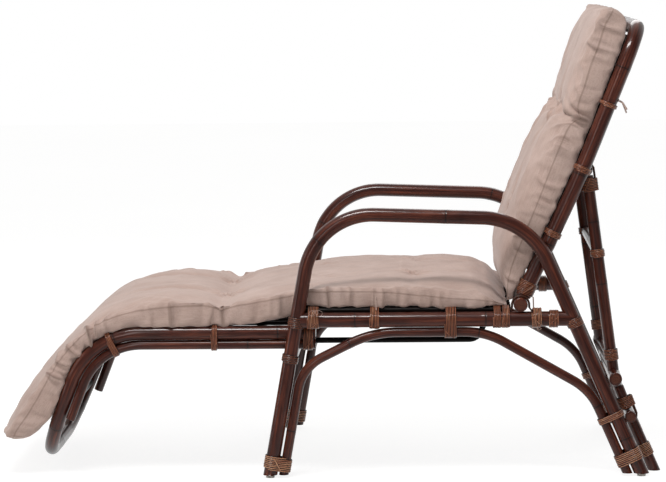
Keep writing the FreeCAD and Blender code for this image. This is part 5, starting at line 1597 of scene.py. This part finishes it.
        # X and Z of the near seam, as the photograph shows it
        seen = np.array([(0.498, 0, 0.713), (0.517, 0, 0.753), (0.534, 0, 0.796), (0.547, 0, 0.833),
                         (0.559, 0, 0.876), (0.576, 0, 0.918), (0.589, 0, 0.960)])
        nearest = np.linalg.norm(seen[:, None] - (spine.place + spine.out * 0.04)[None], axis=2).argmin(axis=1)
        height = ((seen - spine.place[nearest]) * spine.out[nearest]).sum(axis=1) / spine.thick[nearest]
        seam = np.interp(share, np.concatenate([[0, 0.3], share[nearest], [1]]),
                         np.clip(np.concatenate([[0.42, 0.4], height, [0.5]]), 0.28, 0.6))
        neck, waist = total * self.neck, total * self.waist
        tufts = [(s, side, depth) for s, depth in ((neck, 0.030), (waist, 0.018)) for side in TUFT_SIDES]
        creases = [(side, start, stop, depth) for start, stop, depth in
                   ((waist, neck, 0.010), (neck, total * 0.86, 0.006)) for side in TUFT_SIDES]
        spine.width = spine.width * 1.02
        drape = np.tile([[0.235, 0.258, 0.0052]], (len(share), 1))
        pillow = Pillow("back_pad", spine, seam, tufts, creases, [(neck, 0.012, 0.013)], drape)
        folds = [(neck, 0.075, 0.012, 0.0085, 0.006, 0.15), (neck + 0.016, 0.055, 0.01, 0.005, 0.005, 0.5),
                 (neck - 0.018, 0.06, 0.012, 0.005, 0.005, -0.45),
                 (neck + 0.045, 0.04, 0.01, 0.003, 0.005, 0.6),
                 (neck - 0.05, 0.04, 0.012, 0.0035, 0.005, -0.6), (total * 0.40, 0.03, 0.02, 0.004, 0.005, 0.3),
                 (total * 0.22, 0.035, 0.02, 0.0045, 0.005, -0.3),
                 (total * 0.86, 0.035, 0.02, 0.005, 0.005, 0.3),
                 (total * 0.93, 0.025, 0.02, 0.0045, 0.0045, 0.2),
                 (total * 0.08, 0.035, 0.02, 0.004, 0.005, 0.2)]
        deep = [(d[0], side) + d[1:] for side in (-1, 1) for d in folds]
        return self.start(pillow, shop, bench), Puckers(tufts, deep, 23)

    @staticmethod
    def start(pillow: Pillow, shop: Workshop, bench: ClothBench) -> Object:
        """Makes a pad's object and puts it on the cloth bench."""
        shell, held = pillow.build()
        piece = to_object(pillow.name, shell, shop.paint[Finish.CLOTH])
        bench.add(piece, pillow, held)
        return piece

    @staticmethod
    def finer(piece: Object, levels: int) -> None:
        """Subdivides a pad's mesh and keeps the result as plain mesh."""
        smooth = piece.modifiers.new("finer", "SUBSURF")
        smooth.levels = smooth.render_levels = levels
        graph = bpy.context.evaluated_depsgraph_get()
        mesh = bpy.data.meshes.new_from_object(piece.evaluated_get(graph))
        old = piece.data
        piece.modifiers.clear()
        piece.data = mesh
        bpy.data.meshes.remove(old)

    def part(self, whole: Object, cuts: Pair, shop: Workshop) -> None:
        """Parts the long pad at its two splits into shin, leg and seat pads.

        Each part takes the quads on its side of the cut and closes the cut with flat faces. The
        parts keep the whole pad's surface directions, so that the join shows no edge.

        Args:
            whole: the finished long pad.
            cuts: distances along the pad of the knee's cut and of the seat's.
            shop: the workshop.
        """
        mesh = whole.data
        points, normal = coordinates(whole), surface_ways(mesh)
        # each part keeps the fold value, which paints shade in the cloth's creases
        cloth, fold = point_values(mesh, "cloth"), point_values(mesh, "fold")
        faces = np.zeros(len(mesh.polygons) * 4, np.int32)
        mesh.polygons.foreach_get("vertices", faces)
        faces = faces.reshape(-1, 4)
        part = np.digitize(cloth[:, 0][faces].mean(axis=1), cuts)
        for number, node in enumerate(("shin_pad", "leg_pad", "seat_pad")):
            used, flat = np.unique(faces[part == number], return_inverse=True)
            own = flat.reshape(-1, 4)
            shell = Shell(points[used], own, self.cut_faces(own), {"cloth": cloth[used], "fold": fold[used]})
            piece = shop.stand_for(node, shell, Finish.CLOTH)
            self.keep_directions(piece, normal[used], len(own))
            if node == "leg_pad":
                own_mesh(piece)
        bpy.data.objects.remove(whole)

    @staticmethod
    def cut_faces(faces: Array) -> list[tuple[int, ...]]:
        """Returns faces that close the open rims of quads, found from edges that only one quad has."""
        edges = np.concatenate([faces[:, [k, (k + 1) % 4]] for k in range(4)])
        keys = np.sort(edges, axis=1)
        _, back, seen = np.unique(keys[:, 0].astype(np.int64) * 10_000_000 + keys[:, 1], return_inverse=True,
                                  return_counts=True)
        rim = edges[seen[back] == 1]
        following = {int(a): int(b) for a, b in rim}
        loops = []
        while following:
            start, current = following.popitem()
            loop = [start]
            while current != start:
                loop.append(current)
                current = following.pop(current)
            loops.append(tuple(loop[::-1]))
        return loops

    @staticmethod
    def keep_directions(piece: Object, normal: Array, quads: int) -> None:
        """Gives the outer faces' corners the whole pad's surface directions, and the cut its own."""
        mesh = piece.data
        corner = np.zeros(len(mesh.loops), np.int32)
        mesh.loops.foreach_get("vertex_index", corner)
        directions = normal[corner]
        for face in mesh.polygons[quads:]:
            face.use_smooth = False
            directions[face.loop_start:face.loop_start + face.loop_total] = face.normal
        mesh.normals_split_custom_set(directions.tolist())


@dataclass
class Ties:
    """The canvas tapes that hold the pads to the poles: loops, tails and a small bow."""
    tape: float = 0.006
    thick: float = 0.0007
    back_z: float = 0.806
    tail_width: float = 0.0042
    seat_widths: Pair = (0.0024, 0.003)
    bow_width: float = 0.0016

    def strip(self, corners: list, bends: list, width_way: Array, width: float) -> Shell:
        """Carries the tape's thin oval along a rounded line.

        Args:
            corners: points of the line.
            bends: radii at its inner corners.
            width_way: the way in which the tape is wide.
            width: the tape's width.

        Returns:
            The tape's shell with its place on the cloth.
        """
        line = rounded_line(corners, bends)
        length = lengths_of(line)[-1]
        stations = np.linspace(0, length, max(6, int(length / 0.0015)))
        centre = at_lengths(line, stations)
        tangent = unit(np.gradient(centre, axis=0))
        out = unit(np.cross(tangent, np.broadcast_to(width_way, tangent.shape)))
        across = np.cross(out, tangent)
        size = np.full(len(stations), width / 2)
        points, quads, caps = sweep(centre, across, out, size, np.full(len(stations), self.thick / 2), 8, 0.8)
        cloth = np.empty(points.shape)
        cloth[..., 0] = stations[:, None]
        cloth[..., 1] = ((points - centre[:, None]) * across[:, None]).sum(-1)
        cloth[..., 2] = 0.02
        return Shell(points.reshape(-1, 3), quads, caps, {"cloth": cloth.reshape(-1, 3)})

    def build(self, shop: Workshop, back: Backrest) -> None:
        """Builds the ties of the back pad and of the seat pad."""
        self.place(shop, "back_ties", join(self.on_back_pole(back)), "backrest")
        self.place(shop, "seat_ties", join(self.on_rail()), "frame")

    def on_back_pole(self, back: Backrest) -> list[Shell]:
        """Returns a ring of tape round each back pole and its two tails behind it."""
        high, up = back.on_back(self.back_z)
        reach = back.radius + 0.0012
        behind = np.array([up[2], 0, -up[0]])
        hung = []
        for sign in (-1, 1):
            middle = high + AXIS_Y * sign * back.half
            ring = [middle + behind * (reach * math.cos(a)) + AXIS_Y * (reach * math.sin(a)) * sign
                    for a in np.linspace(-2.6, 0.3, 28)]
            hung.append(self.strip(ring, [0] * 26, up, self.tape))
            knot = middle + behind * (reach + 0.001)
            for drop, side in ((0.020, 0.004), (0.012, -0.003)):
                tail = [knot, knot + behind * 0.007 + AXIS_Y * side - AXIS_Z * 0.001,
                        knot + behind * 0.017 + AXIS_Y * side * 2 - AXIS_Z * drop]
                hung.append(self.strip(tail, [0.008], unit(up + AXIS_Y * 0.4), self.tail_width))
        return hung

    def on_rail(self) -> list[Shell]:
        """Returns the tapes beside the seat pad, and a bow of three loops at the rail's front."""
        laid = []
        for sign in (-1, 1):
            laid.append(self.strip([(0.103, sign * 0.2955, 0.389), (0.1035, sign * 0.2995, 0.381),
                                    (0.104, sign * 0.3030, 0.3605)], [0.004], AXIS_X, self.seat_widths[0]))
            laid.append(self.strip([(0.4385, sign * 0.2795, 0.384), (0.4395, sign * 0.2795, 0.350),
                                    (0.4440, sign * 0.2795, 0.3225), (0.4500, sign * 0.2810, 0.3110),
                                    (0.4560, sign * 0.2820, 0.3165)], [0.02, 0.006, 0.003],
                                   unit(AXIS_X + AXIS_Z * 0.7), self.seat_widths[1]))
            for size, turn in ((0.0085, 0.5), (0.007, 2.4), (0.006, 1.4)):
                bow = [(-0.026 + size * (math.cos(turn) + math.cos(a + turn)),
                        sign * (0.3212 + 0.001 * math.sin(a)),
                        0.3535 + size * 0.8 * (math.sin(turn) + math.sin(a + turn)))
                       for a in np.linspace(-2.7, 2.7, 30)]
                laid.append(self.strip(bow, [0] * 28, AXIS_Y, self.bow_width))
        return laid

    @staticmethod
    def place(shop: Workshop, name: str, shell: Shell, body: str) -> None:
        """Makes the ties' object and puts it on a body."""
        piece = to_object(name, shell, shop.paint[Finish.CLOTH])
        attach(piece, body)
        LOG.info("%s: %d faces", name, len(piece.data.polygons))


# Set and camera

@dataclass
class Studio:
    """A pale floor, soft lamps above, in front and behind, and the camera at the photograph's place."""
    place: Triple = (0.2418, -5.7329, 1.0979)
    yaw: float = -0.0295
    pitch: float = 0.108
    roll: float = -0.0109
    focal_px: float = 2574.9
    centre_px: float = 364.9
    width_px: float = 666.0

    def build(self) -> None:
        """Builds the floor, world, lamps and camera."""
        self.floor()
        self.world()
        self.lamp("key", (-0.6, -1.5, 3.2), (0.0, 0.0, 0.35), (1.6, 0.55), 64)
        self.lamp("left strip", (-3.2, -1.2, 0.95), (-0.1, 0.0, 0.45), (0.3, 1.8), 6)
        self.lamp("low strip", (-0.85, -2.7, 1.1), (0.55, -0.2, 0.65), (0.25, 1.4), 4)
        self.lamp("rear", (0.6, 2.8, 2.4), (0.0, 0.0, 0.4), (1.8, 1.8), 22)
        self.camera()
        bpy.context.scene.view_settings.view_transform = "Standard"

    @staticmethod
    def floor() -> None:
        """Builds a wide pale floor that shows almost white to the camera and keeps the shadow.

        Reflections see it white behind the lounger and dimmer towards the camera's side of the room.
        """
        reach = 12.0
        corners = np.array([[-1, -1, 0], [1, -1, 0], [1, 1, 0], [-1, 1, 0]], float) * reach
        mesh = bpy.data.meshes.new("floor")
        mesh.from_pydata(corners.tolist(), [], [[0, 1, 2, 3]])
        floor = bpy.data.objects.new("floor", mesh)
        bpy.context.scene.collection.objects.link(floor)
        material, tree, shader = new_material("pale_studio_floor")
        place = add_node(tree, "ShaderNodeTexCoord").outputs["Object"]
        cloud = stretched(tree, place, (0.7, 0.7, 0.7), 2.0)
        fill(tree, shader, {"Base Color": ramp(tree, cloud, [(0.3, "F0EFED"), (0.7, "F5F4F3")]),
                            "Roughness": 0.9})
        glow = add_node(tree, "ShaderNodeEmission", {"Color": (1, 1, 1, 1), "Strength": 1.2})
        path = add_node(tree, "ShaderNodeLightPath").outputs
        direct = computed(tree, "MAXIMUM", path["Is Camera Ray"], path["Is Transmission Ray"])
        mix = add_node(tree, "ShaderNodeMixShader", {0: computed(tree, "MULTIPLY", direct, 0.72),
                                                     1: shader.outputs["BSDF"], 2: glow.outputs["Emission"]})
        depth = add_node(tree, "ShaderNodeSeparateXYZ", {"Vector": place}).outputs["Y"]
        mirrored = add_node(tree, "ShaderNodeEmission", {"Color": (1, 1, 1, 1),
                                                         "Strength": ranged(tree, depth, -1.0, 0.6, 0.2, 1.0)})
        both = add_node(tree, "ShaderNodeMixShader", {0: path["Is Glossy Ray"], 1: mix.outputs["Shader"],
                                                      2: mirrored.outputs["Emission"]})
        output = next(n for n in tree.nodes if n.type == "OUTPUT_MATERIAL")
        tree.links.new(both.outputs["Shader"], output.inputs["Surface"])
        mesh.materials.append(material)

    @staticmethod
    def world() -> None:
        """Lights the scene evenly, and shows a white backdrop where a ray meets no surface.

        Reflections see that backdrop behind the lounger and the dim room in front of it.
        """
        world = bpy.data.worlds.new("studio")
        bpy.context.scene.world = world
        world.use_nodes = True
        tree = world.node_tree
        tree.nodes.clear()
        path = add_node(tree, "ShaderNodeLightPath").outputs
        direct = computed(tree, "MAXIMUM", path["Is Camera Ray"], path["Is Transmission Ray"])
        seen = computed(tree, "MAXIMUM", direct, path["Is Glossy Ray"])
        way = add_node(tree, "ShaderNodeTexCoord").outputs["Generated"]
        ahead = add_node(tree, "ShaderNodeSeparateXYZ", {"Vector": way}).outputs["Y"]
        backdrop = computed(tree, "MAXIMUM", direct, ranged(tree, ahead, -0.3, 0.4, 0.12, 0.6))
        around = ranged(tree, ahead, -0.5, 0.5, 0.32, 0.66)
        level = mixed_value(tree, seen, around, backdrop)
        sky = add_node(tree, "ShaderNodeBackground", {"Color": (1, 1, 1, 1), "Strength": level})
        add_node(tree, "ShaderNodeOutputWorld", {"Surface": sky.outputs["Background"]})

    @staticmethod
    def lamp(name: str, place: tuple, target: tuple, size: Pair, power: float) -> None:
        """Adds a rectangular soft lamp that looks at a point."""
        data = bpy.data.lights.new(name, "AREA")
        data.shape = "RECTANGLE"
        data.size, data.size_y = size
        data.energy = power
        lamp = bpy.data.objects.new(name, data)
        way = Vector(target) - Vector(place)
        lamp.location = place
        lamp.rotation_euler = way.to_track_quat("-Z", "Y").to_euler()
        bpy.context.scene.collection.objects.link(lamp)

    def camera(self) -> None:
        """Adds the camera: yaw about Z from +Y, pitch down, then roll, with the lens and shift in pixels."""
        cy, sy, cp, sp = math.cos(self.yaw), math.sin(self.yaw), math.cos(self.pitch), math.sin(self.pitch)
        ahead = np.array([sy * cp, cy * cp, -sp])
        right = np.array([cy, -sy, 0])
        up = np.cross(right, ahead)
        turned = right * math.cos(self.roll) + up * math.sin(self.roll)
        upright = up * math.cos(self.roll) - right * math.sin(self.roll)
        data = bpy.data.cameras.new("camera")
        data.sensor_width = 36
        data.lens = self.focal_px / self.width_px * 36
        data.shift_x = -(self.centre_px - self.width_px / 2) / self.width_px
        data.clip_end = 60
        camera = bpy.data.objects.new("camera", data)
        matrix = np.eye(4)
        matrix[:3, 0], matrix[:3, 1], matrix[:3, 2], matrix[:3, 3] = turned, upright, -ahead, self.place
        camera.matrix_world = Matrix(matrix.tolist())
        bpy.context.scene.collection.objects.link(camera)
        bpy.context.scene.camera = camera


def main() -> None:
    """Builds the lounger's pieces in order."""
    logging.basicConfig(level=logging.INFO, format="%(message)s")
    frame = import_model()
    shop = Workshop(frame)
    SideFrames().build(shop)
    back = Backrest()
    back.build(shop)
    Prop().build(shop)
    Legrest().build(shop)
    Ties().build(shop, back)
    bench = ClothBench()
    pads = Pads()
    whole, lower_folds, cuts = pads.build_lower(shop, bench)
    back_pad, back_folds = pads.build_back(shop, bench)
    if bench.items:
        bench.run()
    for piece, puckers in ((whole, lower_folds), (back_pad, back_folds)):
        pads.finer(piece, 1)
        puckers.apply(piece)
    pads.part(whole, cuts, shop)
    back_pad.name = "back_pad_dressed"
    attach(back_pad, "backrest")
    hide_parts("back_pad")
    Studio().build()


if __name__ == "__main__":
    main()
